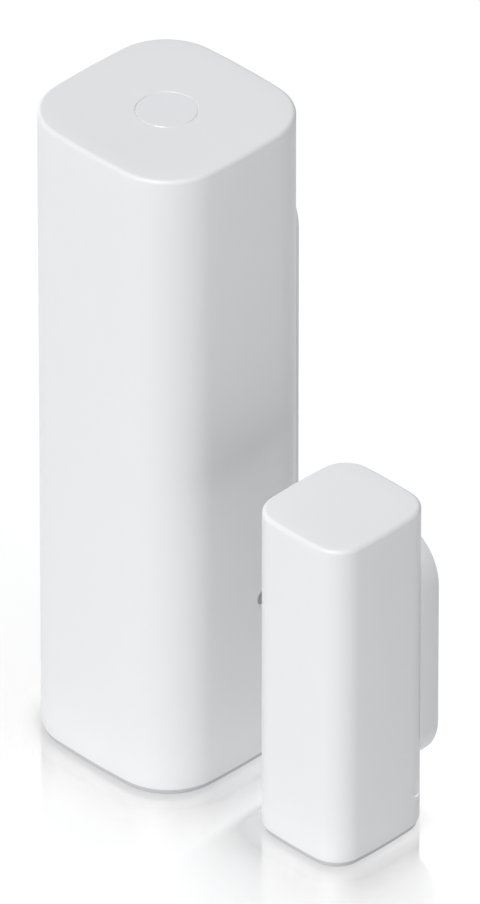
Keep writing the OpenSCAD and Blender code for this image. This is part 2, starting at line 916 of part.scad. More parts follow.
// Insulating washer round the positive terminal
module battery_ring() {
    color(white)
    difference() {
        rod_z(ring_r, battery_top, battery_top + ring_t, battery_x, 0);
        rod_z(terminal_r + ring_t, battery_top - 1, battery_top + 1, battery_x, 0);
    }
}

module battery_terminal() {
    color(nickel)
        rod_z(terminal_r, battery_top, battery_top + terminal_h, battery_x, 0);
}

// ---------------------------------------------------------------------------
// Brackets

// Screw hole in a bracket plate, countersunk on the side away from the wall
module screw_hole(hole, y0, y1, x, z) {
    rod_y(hole[0], y0 - 1, y1 + 1, x, z);
    translate([x, y0 - eps, z])
        rotate([-90, 0, 0])
            cylinder(r1 = hole[1], r2 = hole[0], h = hole[2]);
}

// Slot that lets the tamper plunger through while the bracket slides
module tamper_slot(r, y0, y1) {
    travel = SENSOR_HOOK[5];
    stadium(r, travel + 2 * r, y0, y1, tamper_x, tamper_z + travel / 2);
}

module sensor_bracket() {
    y1 = sensor_plate_y + sensor_plate_t;
    color(white)
    difference() {
        union() {
            stadium(bracket_half_w, sensor_bracket_h, sensor_plate_y, y1, 0, sensor_bracket_z);
            for (z = sensor_hooks)
                hook(SENSOR_HOOK, sensor_plate_y, z);
        }
        for (s = [-1, 1])
            screw_hole(
                SENSOR_HOLE, sensor_plate_y, y1, 0,
                sensor_bracket_z + s * sensor_hole_spacing / 2
            );
        tamper_slot(tamper_opening_r, sensor_plate_y - 1, y1 + 1);
    }
}

module sensor_bracket_pad() {
    y0 = sensor_plate_y + sensor_plate_t;
    color(foam_grey)
    difference() {
        stadium(
            bracket_half_w - pad_inset, sensor_bracket_h - 2 * pad_inset,
            y0, y0 + pad_t, 0, sensor_bracket_z
        );
        for (s = [-1, 1])
            rod_y(SENSOR_HOLE[3], y0 - 1, y0 + 1, 0, sensor_bracket_z + s * sensor_hole_spacing / 2);
        tamper_slot(tamper_opening_r + 0.2, y0 - 1, y0 + 1);
    }
}

// The plate's sides reach forwards and hug the rounded rear corners of the housing
module magnet_bracket() {
    y0 = magnet_plate_y - bracket_reach;
    y1 = magnet_plate_y + magnet_plate_t;
    color(white)
    difference() {
        union() {
            difference() {
                stadium(bracket_half_w, magnet_bracket_h, y0, y1, magnet_x, magnet_bracket_z);
                prism(MAGNET, 0, magnet_z_top, -plate_gap);
            }
            for (z = magnet_hooks)
                hook(MAGNET_HOOK, magnet_plate_y, z);
        }
        for (s = [-1, 1])
            screw_hole(
                MAGNET_HOLE, magnet_plate_y, y1, magnet_x,
                magnet_bracket_z + s * magnet_hole_spacing / 2
            );
    }
}

module magnet_bracket_pad() {
    y0 = magnet_plate_y + magnet_plate_t;
    color(foam_grey)
    difference() {
        stadium(
            bracket_half_w - pad_inset, magnet_bracket_h - 2 * pad_inset,
            y0, y0 + pad_t, magnet_x, magnet_bracket_z
        );
        for (s = [-1, 1])
            rod_y(
                MAGNET_HOLE[3], y0 - 1, y0 + 1, magnet_x,
                magnet_bracket_z + s * magnet_hole_spacing / 2
            );
    }
}

// ---------------------------------------------------------------------------
// Magnet unit

// Sleeve like the sensor's, with a shallow round dimple at each rear corner near the base
module magnet_housing() {
    color(white)
    difference() {
        union() {
            difference() {
                rounded_body(MAGNET, magnet_z, magnet_z_top);
                prism(MAGNET, magnet_z - 1, magnet_z_top - magnet_top, magnet_wall);
            }
            for (z = magnet_hooks)
                pocket_boss(MAGNET_HOOK, magnet_wall, z);
        }
        for (z = magnet_hooks)
            hook_pocket(MAGNET_HOOK, z);
        rod_x(dimple_r, magnet_x + dimple_x, magnet_x + magnet_w, dimple_y, dimple_z);
        rod_x(dimple_r, magnet_x - magnet_w, magnet_x - dimple_x, dimple_y, dimple_z);
    }
}

module magnet_end_cap() {
    color(strip_grey) {
        prism(MAGNET, 0, strip_h - fit_gap, strip_inset);
        prism(MAGNET, 0, end_plug_z, magnet_wall + plug_gap);
    }
}

// Upright box that holds the magnet in the middle of the housing
module magnet_carrier() {
    color(soft_white)
    difference() {
        box(
            [magnet_x - bar_w / 2 - carrier_t, bar_y - carrier_t, end_plug_z],
            [magnet_x + bar_w / 2 + carrier_t, bar_y + bar_d + carrier_t, bar_z + bar_h + 1.5]
        );
        box(
            [magnet_x - bar_w / 2 - fit_gap, bar_y - fit_gap, bar_z],
            [magnet_x + bar_w / 2 + fit_gap, bar_y + bar_d + fit_gap, magnet_z_top]
        );
        box(
            [magnet_x - magnet_w, bar_y + 2, bar_z + 4],
            [magnet_x + magnet_w, bar_y + bar_d - 2, bar_z + bar_h - 4]
        );
    }
}

module bar_magnet() {
    color(nickel)
        box([magnet_x - bar_w / 2, bar_y, bar_z], [magnet_x + bar_w / 2, bar_y + bar_d, bar_z + bar_h]);
}

// Foam block that stops the magnet from rattling
module magnet_foam() {
    color(foam_grey)
        box(
            [magnet_x - bar_w / 2, bar_y + 1, bar_z + bar_h + fit_gap],
            [magnet_x + bar_w / 2, bar_y + bar_d - 1, magnet_z_top - magnet_top - fit_gap]
        );
}

sensor_housing();
alignment_dot();
status_window();
light_pipe();
chassis();
chassis_screws();
main_board();
board_screws();
reed_glass();
reed_leads();
radio_shield();
radio_chip();
motion_chip();
power_chip();
crystal();
buffer_capacitor();
ceramic_capacitors();
chip_resistors();
status_led();
antenna_coil();
pair_switch();
pair_button();
tamper_switch();
tamper_actuator();
tamper_plunger();
tamper_spring();
positive_contact();
contact_finger();
base_cap();
cap_gasket();
battery_cradle();
contact_plate();
negative_spring();
battery_can();
battery_core();
battery_wrap();
battery_ring();
battery_terminal();
sensor_bracket();
sensor_bracket_pad();
magnet_housing();
magnet_end_cap();
magnet_carrier();
bar_magnet();
magnet_foam();
magnet_bracket();
magnet_bracket_pad();
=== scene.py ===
"""Looks of a door contact sensor: a battery-powered sensor unit and its magnet unit, each on a bracket."""

import json
import math
from collections import namedtuple

import bmesh
import bpy
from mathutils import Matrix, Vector

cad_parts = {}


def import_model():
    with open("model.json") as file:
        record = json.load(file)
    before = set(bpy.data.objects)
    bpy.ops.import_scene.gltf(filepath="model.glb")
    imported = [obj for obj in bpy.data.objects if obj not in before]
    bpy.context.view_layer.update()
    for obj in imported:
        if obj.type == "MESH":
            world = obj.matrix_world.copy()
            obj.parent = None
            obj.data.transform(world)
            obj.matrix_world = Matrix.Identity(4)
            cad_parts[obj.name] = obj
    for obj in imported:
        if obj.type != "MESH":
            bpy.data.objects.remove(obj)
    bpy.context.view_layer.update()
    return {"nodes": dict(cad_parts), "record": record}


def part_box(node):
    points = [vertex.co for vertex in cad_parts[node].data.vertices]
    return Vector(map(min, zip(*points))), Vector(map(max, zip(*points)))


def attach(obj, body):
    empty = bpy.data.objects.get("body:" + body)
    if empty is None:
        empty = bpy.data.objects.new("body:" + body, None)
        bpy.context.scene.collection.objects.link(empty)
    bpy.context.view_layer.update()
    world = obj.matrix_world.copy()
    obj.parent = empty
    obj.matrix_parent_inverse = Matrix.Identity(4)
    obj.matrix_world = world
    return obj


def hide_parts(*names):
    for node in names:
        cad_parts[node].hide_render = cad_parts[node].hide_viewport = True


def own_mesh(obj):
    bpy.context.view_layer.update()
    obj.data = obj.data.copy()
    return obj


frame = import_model()
MM = 0.001
COLLECTION = bpy.context.scene.collection
NODES = frame["nodes"]

# ---------------------------------------------------------------------------
# Node materials


class Shader:
    """A principled material and short ways to add nodes to it."""

    def __init__(self, name):
        self.mat = bpy.data.materials.new(name)
        self.mat.use_nodes = True
        self.tree = self.mat.node_tree
        self.tree.nodes.clear()
        self.out = self.tree.nodes.new("ShaderNodeOutputMaterial")
        self.bsdf = self.tree.nodes.new("ShaderNodeBsdfPrincipled")
        self.tree.links.new(self.bsdf.outputs[0], self.out.inputs["Surface"])
        self.coord = self.tree.nodes.new("ShaderNodeTexCoord").outputs["Object"]

    def link(self, a, b):
        self.tree.links.new(a, b)

    def put(self, socket, value):
        """Links a node's output to a socket, or sets the socket's own value."""
        if isinstance(value, bpy.types.NodeSocket):
            self.link(value, socket)
        elif isinstance(value, (tuple, list)) and len(value) == 3 and socket.type == "RGBA":
            socket.default_value = (*value, 1.0)
        else:
            socket.default_value = value

    def set(self, **values):
        """Sets the principled shader's inputs by name, with _ for a space."""
        for key, value in values.items():
            self.put(self.bsdf.inputs[key.replace("_", " ")], value)

    def scaled(self, scale):
        """Object coordinates stretched by a scale for each axis."""
        n = self.tree.nodes.new("ShaderNodeMapping")
        n.inputs["Scale"].default_value = scale
        self.link(self.coord, n.inputs["Vector"])
        return n.outputs[0]

    def noise(self, scale, detail=3.0, rough=0.55, vector=None):
        n = self.tree.nodes.new("ShaderNodeTexNoise")
        n.inputs["Scale"].default_value = scale
        n.inputs["Detail"].default_value = detail
        n.inputs["Roughness"].default_value = rough
        self.link(vector or self.coord, n.inputs["Vector"])
        return n.outputs["Fac"]

    def voronoi(self, scale, feature="F1", vector=None):
        n = self.tree.nodes.new("ShaderNodeTexVoronoi")
        n.feature = feature
        n.inputs["Scale"].default_value = scale
        self.link(vector or self.coord, n.inputs["Vector"])
        return n.outputs["Distance"]

    def math(self, kind, a, b=0.0, c=0.0, clamp=False):
        n = self.tree.nodes.new("ShaderNodeMath")
        n.operation = kind
        n.use_clamp = clamp
        for socket, value in zip(n.inputs, (a, b, c)):
            self.put(socket, value)
        return n.outputs[0]

    def span(self, value, low, high, to_low=0.0, to_high=1.0):
        """Maps low..high to to_low..to_high, clamped."""
        n = self.tree.nodes.new("ShaderNodeMapRange")
        limits = {"From Min": low, "From Max": high, "To Min": to_low, "To Max": to_high}
        for key, v in {"Value": value, **limits}.items():
            self.put(n.inputs[key], v)
        return n.outputs[0]

    def vector(self, kind, a, b=(0.0, 0.0, 0.0)):
        n = self.tree.nodes.new("ShaderNodeVectorMath")
        n.operation = kind
        self.link(a, n.inputs[0])
        n.inputs[1].default_value = b
        return n.outputs["Value" if kind == "LENGTH" else "Vector"]

    def mix(self, fac, a, b):
        n = self.tree.nodes.new("ShaderNodeMix")
        n.data_type = "RGBA"
        self.put(n.inputs[0], fac)
        self.put(n.inputs[6], a)
        self.put(n.inputs[7], b)
        return n.outputs[2]

    def bump(self, height, distance, strength=1.0, normal=None):
        n = self.tree.nodes.new("ShaderNodeBump")
        n.inputs["Strength"].default_value = strength
        n.inputs["Distance"].default_value = distance
        self.link(height, n.inputs["Height"])
        if normal:
            self.link(normal, n.inputs["Normal"])
        return n.outputs[0]

    def edges(self, low=0.52, high=0.62):
        """1 on convex edges, 0 elsewhere."""
        n = self.tree.nodes.new("ShaderNodeNewGeometry")
        return self.span(n.outputs["Pointiness"], low, high)

    def split(self, vector=None):
        """The three parts of a vector, or of the object coordinates."""
        n = self.tree.nodes.new("ShaderNodeSeparateXYZ")
        self.link(vector or self.coord, n.inputs[0])
        return n.outputs


def shade(color, k):
    """A colour made lighter or darker by a factor."""
    return tuple(min(1.0, c * k) for c in color)


def plastic(name, color, rough, grain=0.004, grain_scale=5200.0, sheen=0.45, wear=0.25):
    """Moulded plastic: fine spark-eroded grain, faint flow mottling, edges rubbed a little smoother."""
    s = Shader(name)
    flow = s.noise(38.0, 4.0, 0.5, s.scaled((1.0, 1.0, 0.35)))
    cloud = s.noise(210.0, 3.0, 0.5)
    tint = s.mix(s.span(flow, 0.3, 0.7), shade(color, 0.985), shade(color, 1.012))
    rubbed = s.math("MULTIPLY", s.edges(), s.span(s.noise(620.0, 2.0), 0.35, 0.65, 0.3, 1.0))
    base = s.mix(s.math("MULTIPLY", rubbed, wear), tint, shade(color, 1.06))
    roughness = s.span(cloud, 0.25, 0.75, rough - 0.035, rough + 0.035)
    roughness = s.math("SUBTRACT", roughness, s.math("MULTIPLY", rubbed, 0.08))
    fine = s.noise(grain_scale, 3.0, 0.6)
    pits = s.voronoi(grain_scale * 0.6)
    relief = s.math("ADD", fine, s.math("MULTIPLY", pits, 0.5))
    normal = s.bump(relief, grain * MM)
    s.set(Base_Color=base, Roughness=roughness, Specular_IOR_Level=sheen, Normal=normal)
    return s.mat


def metal(name, color, rough, brush=(1.0, 1.0, 0.06), scale=2600.0, depth=0.003):
    """Bare or plated metal with drawn or rolled marks along one axis."""
    s = Shader(name)
    lines = s.noise(scale, 3.0, 0.6, s.scaled(brush))
    blotch = s.noise(420.0, 3.0, 0.55)
    base = s.mix(s.span(blotch, 0.3, 0.7), shade(color, 0.9), shade(color, 1.06))
    roughness = s.span(s.math("ADD", lines, blotch), 0.6, 1.4, rough - 0.07, rough + 0.09)
    s.set(Base_Color=base, Metallic=1.0, Roughness=roughness, Normal=s.bump(lines, depth * MM))
    return s.mat


def rubbery(name, color, rough, cell=2600.0, depth=0.02):
    """Foam or rubber: small cells, with dust that lightens it in places."""
    s = Shader(name)
    cells = s.voronoi(cell)
    dust = s.noise(900.0, 3.0)
    base = s.mix(s.span(dust, 0.3, 0.7), shade(color, 0.85), shade(color, 1.2))
    roughness = s.span(dust, 0.3, 0.7, rough - 0.06, rough + 0.06)
    s.set(Base_Color=base, Roughness=roughness, Normal=s.bump(cells, depth * MM))
    return s.mat


def board(name, color):
    """Solder mask over tracks: stepped lines of raised copper, with the weave just showing."""
    s = Shader(name)
    xyz = s.split()
    track = s.tree.nodes.new("ShaderNodeTexBrick")
    track.inputs["Scale"].default_value = 420.0
    track.inputs["Mortar Size"].default_value = 0.03
    track.inputs["Brick Width"].default_value = 1.3
    turned = s.tree.nodes.new("ShaderNodeCombineXYZ")
    s.link(xyz[2], turned.inputs[0])
    s.link(xyz[1], turned.inputs[1])
    s.link(turned.outputs[0], track.inputs["Vector"])
    line = s.span(track.outputs["Fac"], 0.0, 1.0)
    weave = s.noise(3800.0, 1.0, 0.4, s.scaled((1.0, 1.0, 0.3)))
    base = s.mix(line, shade(color, 0.8), shade(color, 1.7))
    base = s.mix(s.span(weave, 0.35, 0.65, 0.0, 0.25), base, shade(color, 1.3))
    roughness = s.span(weave, 0.2, 0.8, 0.24, 0.38)
    normal = s.bump(line, 0.03 * MM, normal=s.bump(weave, 0.004 * MM))
    s.set(Base_Color=base, Roughness=roughness, Normal=normal)
    return s.mat


def clear(name, color, rough, ior):
    """Clear plastic or glass, faintly smeared."""
    s = Shader(name)
    smear = s.noise(300.0, 3.0)
    roughness = s.span(smear, 0.3, 0.7, rough, rough + 0.07)
    base = s.mix(s.span(smear, 0.3, 0.7), shade(color, 0.96), color)
    normal = s.bump(s.noise(1500.0), 0.002 * MM)
    s.set(Base_Color=base, Roughness=roughness, IOR=ior, Transmission_Weight=0.9, Normal=normal)
    return s.mat


MATERIALS = {
    "housing_white": plastic("housing_white", (0.745, 0.752, 0.762), 0.42),
    "bracket_white": plastic("bracket_white", (0.7, 0.708, 0.718), 0.46),
    "strip_grey": plastic("strip_grey", (0.5, 0.505, 0.515), 0.48),
    "window_white": plastic("window_white", (0.742, 0.752, 0.768), 0.22, grain=0.001, sheen=0.5),
    "dot_grey": plastic("dot_grey", (0.31, 0.315, 0.322), 0.5),
    "inner_white": plastic("inner_white", (0.68, 0.685, 0.69), 0.5, grain=0.006),
    "clear_plastic": clear("clear_plastic", (0.93, 0.95, 0.96), 0.05, 1.49),
    "clear_glass": clear("clear_glass", (0.86, 0.93, 0.90), 0.02, 1.5),
    "board_green": board("board_green", (0.018, 0.11, 0.052)),
    "steel": metal("steel", (0.60, 0.605, 0.61), 0.3),
    "nickel": metal("nickel", (0.66, 0.63, 0.58), 0.26),
    "copper": metal("copper", (0.78, 0.42, 0.25), 0.27),
    "gold": metal("gold", (0.85, 0.62, 0.25), 0.25),
    "chip_black": plastic("chip_black", (0.028, 0.028, 0.03), 0.55, grain=0.008, wear=0.5),
    "ceramic_tan": plastic("ceramic_tan", (0.42, 0.30, 0.19), 0.42, grain=0.004),
    "wrap_blue": plastic("wrap_blue", (0.03, 0.085, 0.22), 0.2, grain=0.001, sheen=0.6),
    "cell_grey": plastic("cell_grey", (0.16, 0.16, 0.17), 0.5),
    "seal_grey": rubbery("seal_grey", (0.09, 0.09, 0.095), 0.6, 5200.0, 0.004),
    "foam_grey": rubbery("foam_grey", (0.17, 0.17, 0.175), 0.85),
}


def paint(obj, slot):
    """Gives an object one of the materials."""
    obj.data.materials.clear()
    obj.data.materials.append(MATERIALS[slot])


# ---------------------------------------------------------------------------
# Mesh tools. Points are in millimetres until a piece is made.

SIDE_STEPS = 8
CORNER_STEPS = 24


def arc(c, r, start, end, steps):
    """Points round an arc about c."""
    turns = [start + (end - start) * i / steps for i in range(steps + 1)]
    return [(c[0] + r * math.cos(t), c[1] + r * math.sin(t)) for t in turns]


def circle(r, steps):
    """Points round a circle about the origin."""
    turns = [2 * math.pi * i / steps for i in range(steps)]
    return [(r * math.cos(t), r * math.sin(t)) for t in turns]


class Shape:
    """Rounded rectangle whose sides bow outwards, with its middle at x."""

    def __init__(self, x, half_w, half_d, corner_r, bow_r):
        self.x, self.a, self.b, self.r, self.bow = x, half_w, half_d, corner_r, bow_r
        side, end = Vector((half_w - bow_r, 0)), Vector((0, half_d - bow_r))
        half = (end - side) / 2
        rise = math.sqrt((bow_r - corner_r) ** 2 - half.length_squared)
        across = Vector((-half.y, half.x)) / half.length
        self.side, self.end, self.corner = side, end, side + half + across * rise
        to_side, to_end = self.corner - side, self.corner - end
        self.t1, self.t2 = math.atan2(to_side.y, to_side.x), math.atan2(to_end.y, to_end.x)

    def quarter(self, inset):
        """Points from the right side round one corner to the back."""
        bowed = self.bow - inset
        return (
            arc(self.side, bowed, 0, self.t1, SIDE_STEPS)[:-1]
            + arc(self.corner, self.r - inset, self.t1, self.t2, CORNER_STEPS)[:-1]
            + arc(self.end, bowed, self.t2, math.pi / 2, SIDE_STEPS)
        )

    def outline(self, inset=0.0):
        q = self.quarter(inset)
        there, back = q[:-1], q[:0:-1]
        rear_half = there + [(-x, y) for x, y in back]
        return rear_half + [(-x, -y) for x, y in there] + [(x, -y) for x, y in back]

    def ring(self, inset, z):
        return [(self.x + x, y, z) for x, y in self.outline(inset)]

    def circle(self, r, z):
        """A circle with as many points as the outline, in step with it."""
        turns = [math.atan2(y, x) for x, y in self.outline()]
        return [(self.x + r * math.cos(t), r * math.sin(t), z) for t in turns]


def round_over(inset, z, r, levels, outward=1.0):
    """(inset, height) pairs round a convex edge: from the side up to the top face when outward is 1."""
    turns = [math.radians(90.0 * i / levels) for i in range(levels + 1)]
    return [(inset + r * (1 - math.cos(t)), z + outward * r * math.sin(t)) for t in turns]


def piece(name, verts, faces, smooth=30.0):
    """A mesh object from points in millimetres."""
    mesh = bpy.data.meshes.new(name)
    mesh.from_pydata([(x * MM, y * MM, z * MM) for x, y, z in verts], [], faces)
    bm = bmesh.new()
    bm.from_mesh(mesh)
    bmesh.ops.recalc_face_normals(bm, faces=bm.faces)
    bm.to_mesh(mesh)
    bm.free()
    obj = bpy.data.objects.new(name, mesh)
    COLLECTION.objects.link(obj)
    soften(obj, smooth)
    return obj


def soften(obj, angle):
    """Shades an object smooth but for edges sharper than angle."""
    obj.data.shade_smooth()
    obj.data.set_sharp_from_angle(angle=math.radians(angle))


def loft(rings, closed=False):
    """Vertices and faces through rings of equal length. Open lofts are capped at both ends."""
    n = len(rings[0])
    verts = [p for ring in rings for p in ring]
    faces = []
    count = len(rings)
    for i in range(count if closed else count - 1):
        a, b = i * n, ((i + 1) % count) * n
        faces += [(a + j, a + (j + 1) % n, b + (j + 1) % n, b + j) for j in range(n)]
    if not closed:
        faces.append(tuple(range(n))[::-1])
        faces.append(tuple(range((count - 1) * n, count * n)))
    return verts, faces


def box_mesh(low, high, r=0.0):
    """A box, its edges rounded by r."""
    verts = [(x, y, z) for x in (low[0], high[0]) for y in (low[1], high[1]) for z in (low[2], high[2])]
    faces = [(0, 1, 3, 2), (4, 6, 7, 5), (0, 4, 5, 1), (2, 3, 7, 6), (0, 2, 6, 4), (1, 5, 7, 3)]
    obj = piece("box", verts, faces)
    return rounded(obj, r) if r else obj


def rounded(obj, r, segments=3, angle=40.0):
    """Bevels an object's sharp edges."""
    m = obj.modifiers.new("edges", "BEVEL")
    m.width = r * MM
    m.segments = segments
    m.limit_method = "ANGLE"
    m.angle_limit = math.radians(angle)
    return bake(obj)


def bake(obj):
    """Turns modifiers into mesh."""
    graph = bpy.context.evaluated_depsgraph_get()
    graph.update()
    done = bpy.data.meshes.new_from_object(obj.evaluated_get(graph))
    obj.modifiers.clear()
    obj.data = done
    return obj


def turned(axis, profile, a, b, steps=64):
    """A turned piece from (radius, place along the axis) pairs. a and b place it on the other two axes."""
    order = {"x": (2, 0, 1), "y": (0, 2, 1), "z": (0, 1, 2)}[axis]
    rings = []
    for r, along in profile:
        points = [(a + u, b + v, along) for u, v in circle(r, steps)]
        rings.append([tuple(p[k] for k in order) for p in points])
    return piece("turned", *loft(rings, closed=profile[0] == profile[-1]))


def rims(start, end, edge):
    """(inset, place) pairs along a side from start to end, with both rims rounded by edge."""
    turns = quarter_turn()
    near = [(edge * (1 - math.sin(t)), start + edge * (1 - math.cos(t))) for t in turns]
    far = [(edge * (1 - math.cos(t)), end - edge * (1 - math.sin(t))) for t in turns]
    return near + far


def rod(axis, r, start, end, a, b, steps=64, edge=0.0):
    """A cylinder along an axis."""
    side = rims(start, end, edge) if edge else [(0.0, start), (0.0, end)]
    return turned(axis, [(r - inset, along) for inset, along in side], a, b, steps)


def quarter_turn(steps=4):
    """Angles from nothing to a right angle."""
    return [math.pi / 2 * i / steps for i in range(steps + 1)]


def combine(obj, others, kind):
    """Boolean of obj with each of others, which are used up."""
    for other in others:
        m = obj.modifiers.new(kind.lower(), "BOOLEAN")
        m.operation = kind
        m.solver = "EXACT"
        m.object = other
    bake(obj)
    for other in others:
        bpy.data.objects.remove(other)
    return obj


def cut(obj, *others):
    return combine(obj, others, "DIFFERENCE")


def add(obj, *others):
    return combine(obj, others, "UNION")


def finished(obj, name, slot, body, *nodes, smooth=30.0):
    """Names and paints a piece, and lets it ride on a body in place of its CAD nodes."""
    obj.name = name
    obj.data.name = name
    soften(obj, smooth)
    paint(obj, slot)
    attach(obj, body)
    if nodes:
        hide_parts(*nodes)
    return obj


def mm_box(node):
    """The two corners of a CAD node's box, in millimetres."""
    low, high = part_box(node)
    return low / MM, high / MM


# ---------------------------------------------------------------------------
# Sizes, in millimetres

SENSOR_LOW, SENSOR_HIGH = mm_box("sensor_housing")
MAGNET_LOW, MAGNET_HIGH = mm_box("magnet_housing")
SENSOR = Shape(0.0, SENSOR_HIGH.x, SENSOR_HIGH.y, corner_r=7.2, bow_r=108.0)
MAGNET_X = (MAGNET_LOW.x + MAGNET_HIGH.x) / 2
MAGNET = Shape(MAGNET_X, MAGNET_HIGH.x - MAGNET_X, MAGNET_HIGH.y, corner_r=3.6, bow_r=67.6)
# Housings: side wall, top, rounding of the top edge and of the open rim, and chamfer inside the rim
SENSOR_WALL, SENSOR_TOP = 1.6, 1.8
MAGNET_WALL, MAGNET_TOP = 1.2, 1.4
TOP_EDGE, EDGE_LEVELS = 0.55, 8
RIM, INNER_RIM = 0.12, 0.25
SIDE_LEVELS = 28
# Status window: seam round it, room under it, chamfer of the seam and radius of the light's hole
SEAM, WINDOW_ROOM, SEAM_CHAMFER, LIGHT_HOLE_R = 0.03, 0.02, 0.05, 1.95
# How far pieces that are joined or cut run past each other
PAST = 1.0
BITE = 0.3

# A bracket's two hooks and the pockets that they slide in
Hook = namedtuple("Hook", "lip head_t height travel spacing boss_t")
SENSOR_HOOK = Hook(lip=1.0, head_t=1.1, height=2.5, travel=4.0, spacing=20.0, boss_t=0.75)
MAGNET_HOOK = Hook(lip=0.75, head_t=0.9, height=2.0, travel=3.0, spacing=12.0, boss_t=0.6)
HEAD_HALF_W, NECK_HALF_W, HOOK_PLAY = 3.2, 1.5, 0.15
HOOK_EDGE = 0.12
# A bracket's plate, the reach of the magnet's round its housing, and their two screw holes
BRACKET_HALF_W, BRACKET_EDGE = 6.5, 0.18
SENSOR_PLATE_T, MAGNET_PLATE_T, MAGNET_REACH = 2.0, 1.2, 2.6
Hole = namedtuple("Hole", "r head_r head_h spacing")
SENSOR_HOLE = Hole(r=1.7, head_r=3.2, head_h=1.4, spacing=46.0)
MAGNET_HOLE = Hole(r=1.3, head_r=2.4, head_h=0.8, spacing=22.4)
# Slot for the tamper plunger: its half width, and how far it runs below and above the plunger
SLOT_R, SLOT_BELOW, SLOT_ABOVE = 1.8, 1.8, 5.8

# Inside the sensor housing: chassis posts and their screw bores, board ribs, holes in the shell
POST_X, POST_Y, POST_R, POST_BORE_R, POST_BORE = -8.1, 7.7, 2.1, 0.92, (-0.5, 7.0)
CHASSIS_FLOOR_T = 1.2
RIB_X, RIB_Y, RIB_HALF_W, RIB_Z, RIB_EDGE = 8.1, 8.6, 1.6, (8.0, 42.0), 0.15
DOT_HOLE_R, PLUNGER_HOLE_R = 1.05, 1.57
# The magnet housing's dimples: how deep and far they reach from its middle, their radius, and place
DIMPLE_X, DIMPLE_R, DIMPLE_Y, DIMPLE_Z = (6.45, 9.0), 1.2, 5.55, 5.4

# Bases: inset and height of the strip, its edges, and the plugs above it as (inset, height) pairs
STRIP_INSET, STRIP_T, STRIP_FOOT_EDGE, STRIP_TOP_EDGE = 0.3, 0.65, 0.1, 0.08
SENSOR_PLUG, GROOVE_INSET, GROOVE_Z, SENSOR_PLUG_TOP = 1.72, 2.6, (2.4, 4.0), 5.3
MAGNET_PLUG, MAGNET_PLUG_TOP = 1.32, 3.25
PULL_NOTCH = (4.0, 1.4, 0.45, 0.2)
CONTACT_BORE_R, CONTACT_BORE_Y, CONTACT_BORE_Z = 1.02, 5, (4.2, 6.6)

# Coils: wire radius, and coil radius at each end
NEGATIVE_WIRE_R, NEGATIVE_COIL_R, NEGATIVE_TURNS = 0.3, (3.9, 2.3), 2.5
ANTENNA_WIRE_R, ANTENNA_COIL_R, ANTENNA_TURNS, ANTENNA_AT = 0.35, 2.6, 7, (2.0, -4.2)
TAMPER_WIRE_R, TAMPER_COIL_R, TAMPER_TURNS, TAMPER_SHUT = 0.15, 1.45, 3, 0.62
# Tamper plunger: stem, flange and tip radii, the flange's start and thickness, edge breaks, tip dome
STEM_R, FLANGE_R, TIP_R, FLANGE_Y, FLANGE_T, EDGE_BREAK, DOME = 0.9, 2.3, 1.5, 9.6, 0.8, 0.1, 0.4


def sleeve(name, shape, z0, z1, wall, top, hole=None):
    """A housing: closed above, open below, with a rounded top edge. hole is (radius, depth, inner radius)."""
    outer = round_over(0.0, z0 + RIM, RIM, 3, -1.0)[::-1]
    low, high = z0 + RIM, z1 - TOP_EDGE
    outer += [(0.0, low + (high - low) * i / SIDE_LEVELS) for i in range(1, SIDE_LEVELS)]
    outer += round_over(0.0, high, TOP_EDGE, EDGE_LEVELS)
    rings = [shape.ring(inset, z) for inset, z in outer]
    inner_top = z1 - top
    edge = shape.ring(TOP_EDGE, z1)
    middle = shape.circle(hole[0] if hole else 0.4, z1)
    for k in (0.25, 0.5, 0.75) if hole else (0.3, 0.6, 0.85):
        rings.append([tuple(p + (q - p) * k for p, q in zip(e, m)) for e, m in zip(edge, middle)])
    if not hole:
        shell = piece(name, *loft(rings + [middle]))
        cavity = piece("cavity", *loft([shape.ring(wall, z0 - PAST), shape.ring(wall, inner_top)]))
        return cut(shell, cavity)
    radius, depth, inner = hole
    steps = [
        (radius + SEAM_CHAMFER, z1),
        (radius, z1 - SEAM_CHAMFER),
        (radius, z1 - depth),
        (inner, z1 - depth),
        (inner, inner_top),
        (inner + 1.0, inner_top),
    ]
    rings += [shape.circle(r, z) for r, z in steps]
    inside = [(wall, inner_top), (wall, z0 + INNER_RIM), (wall - INNER_RIM, z0)]
    rings += [shape.ring(inset, z) for inset, z in inside]
    return piece(name, *loft(rings, closed=True))


def hook_pocket(shape, wall, hook, z):
    """The cutters for one hook's pocket, and the boss that holds it."""
    x, back = shape.x, shape.b
    head, neck = HEAD_HALF_W + HOOK_PLAY, NECK_HALF_W + HOOK_PLAY
    low, high = z - hook.height / 2 - hook.travel - HOOK_PLAY, z + hook.height / 2 + HOOK_PLAY
    face = back - hook.lip
    deep = face - hook.head_t - 2 * HOOK_PLAY
    cutters = [
        box_mesh((x - head, deep, low), (x + head, face, high)),
        box_mesh((x - neck, face - 0.01, low), (x + neck, back + PAST, high)),
        box_mesh((x - head, face - 0.01, low), (x + head, back + PAST, high - hook.travel)),
    ]
    half = head + 1
    boss = box_mesh((x - half, deep - hook.boss_t, low - 1), (x + half, back - wall + BITE, high + 1))
    return cutters, boss


def hook_pockets(shape, wall, hook, node):
    """The cutters and bosses for both hooks of a bracket."""
    low, high = mm_box(node)
    centre = (low.z + high.z) / 2
    cutters, bosses = [], []
    for s in (-1, 1):
        boxes, boss = hook_pocket(shape, wall, hook, centre + s * hook.spacing / 2)
        cutters += boxes
        bosses.append(boss)
    return cutters, bosses


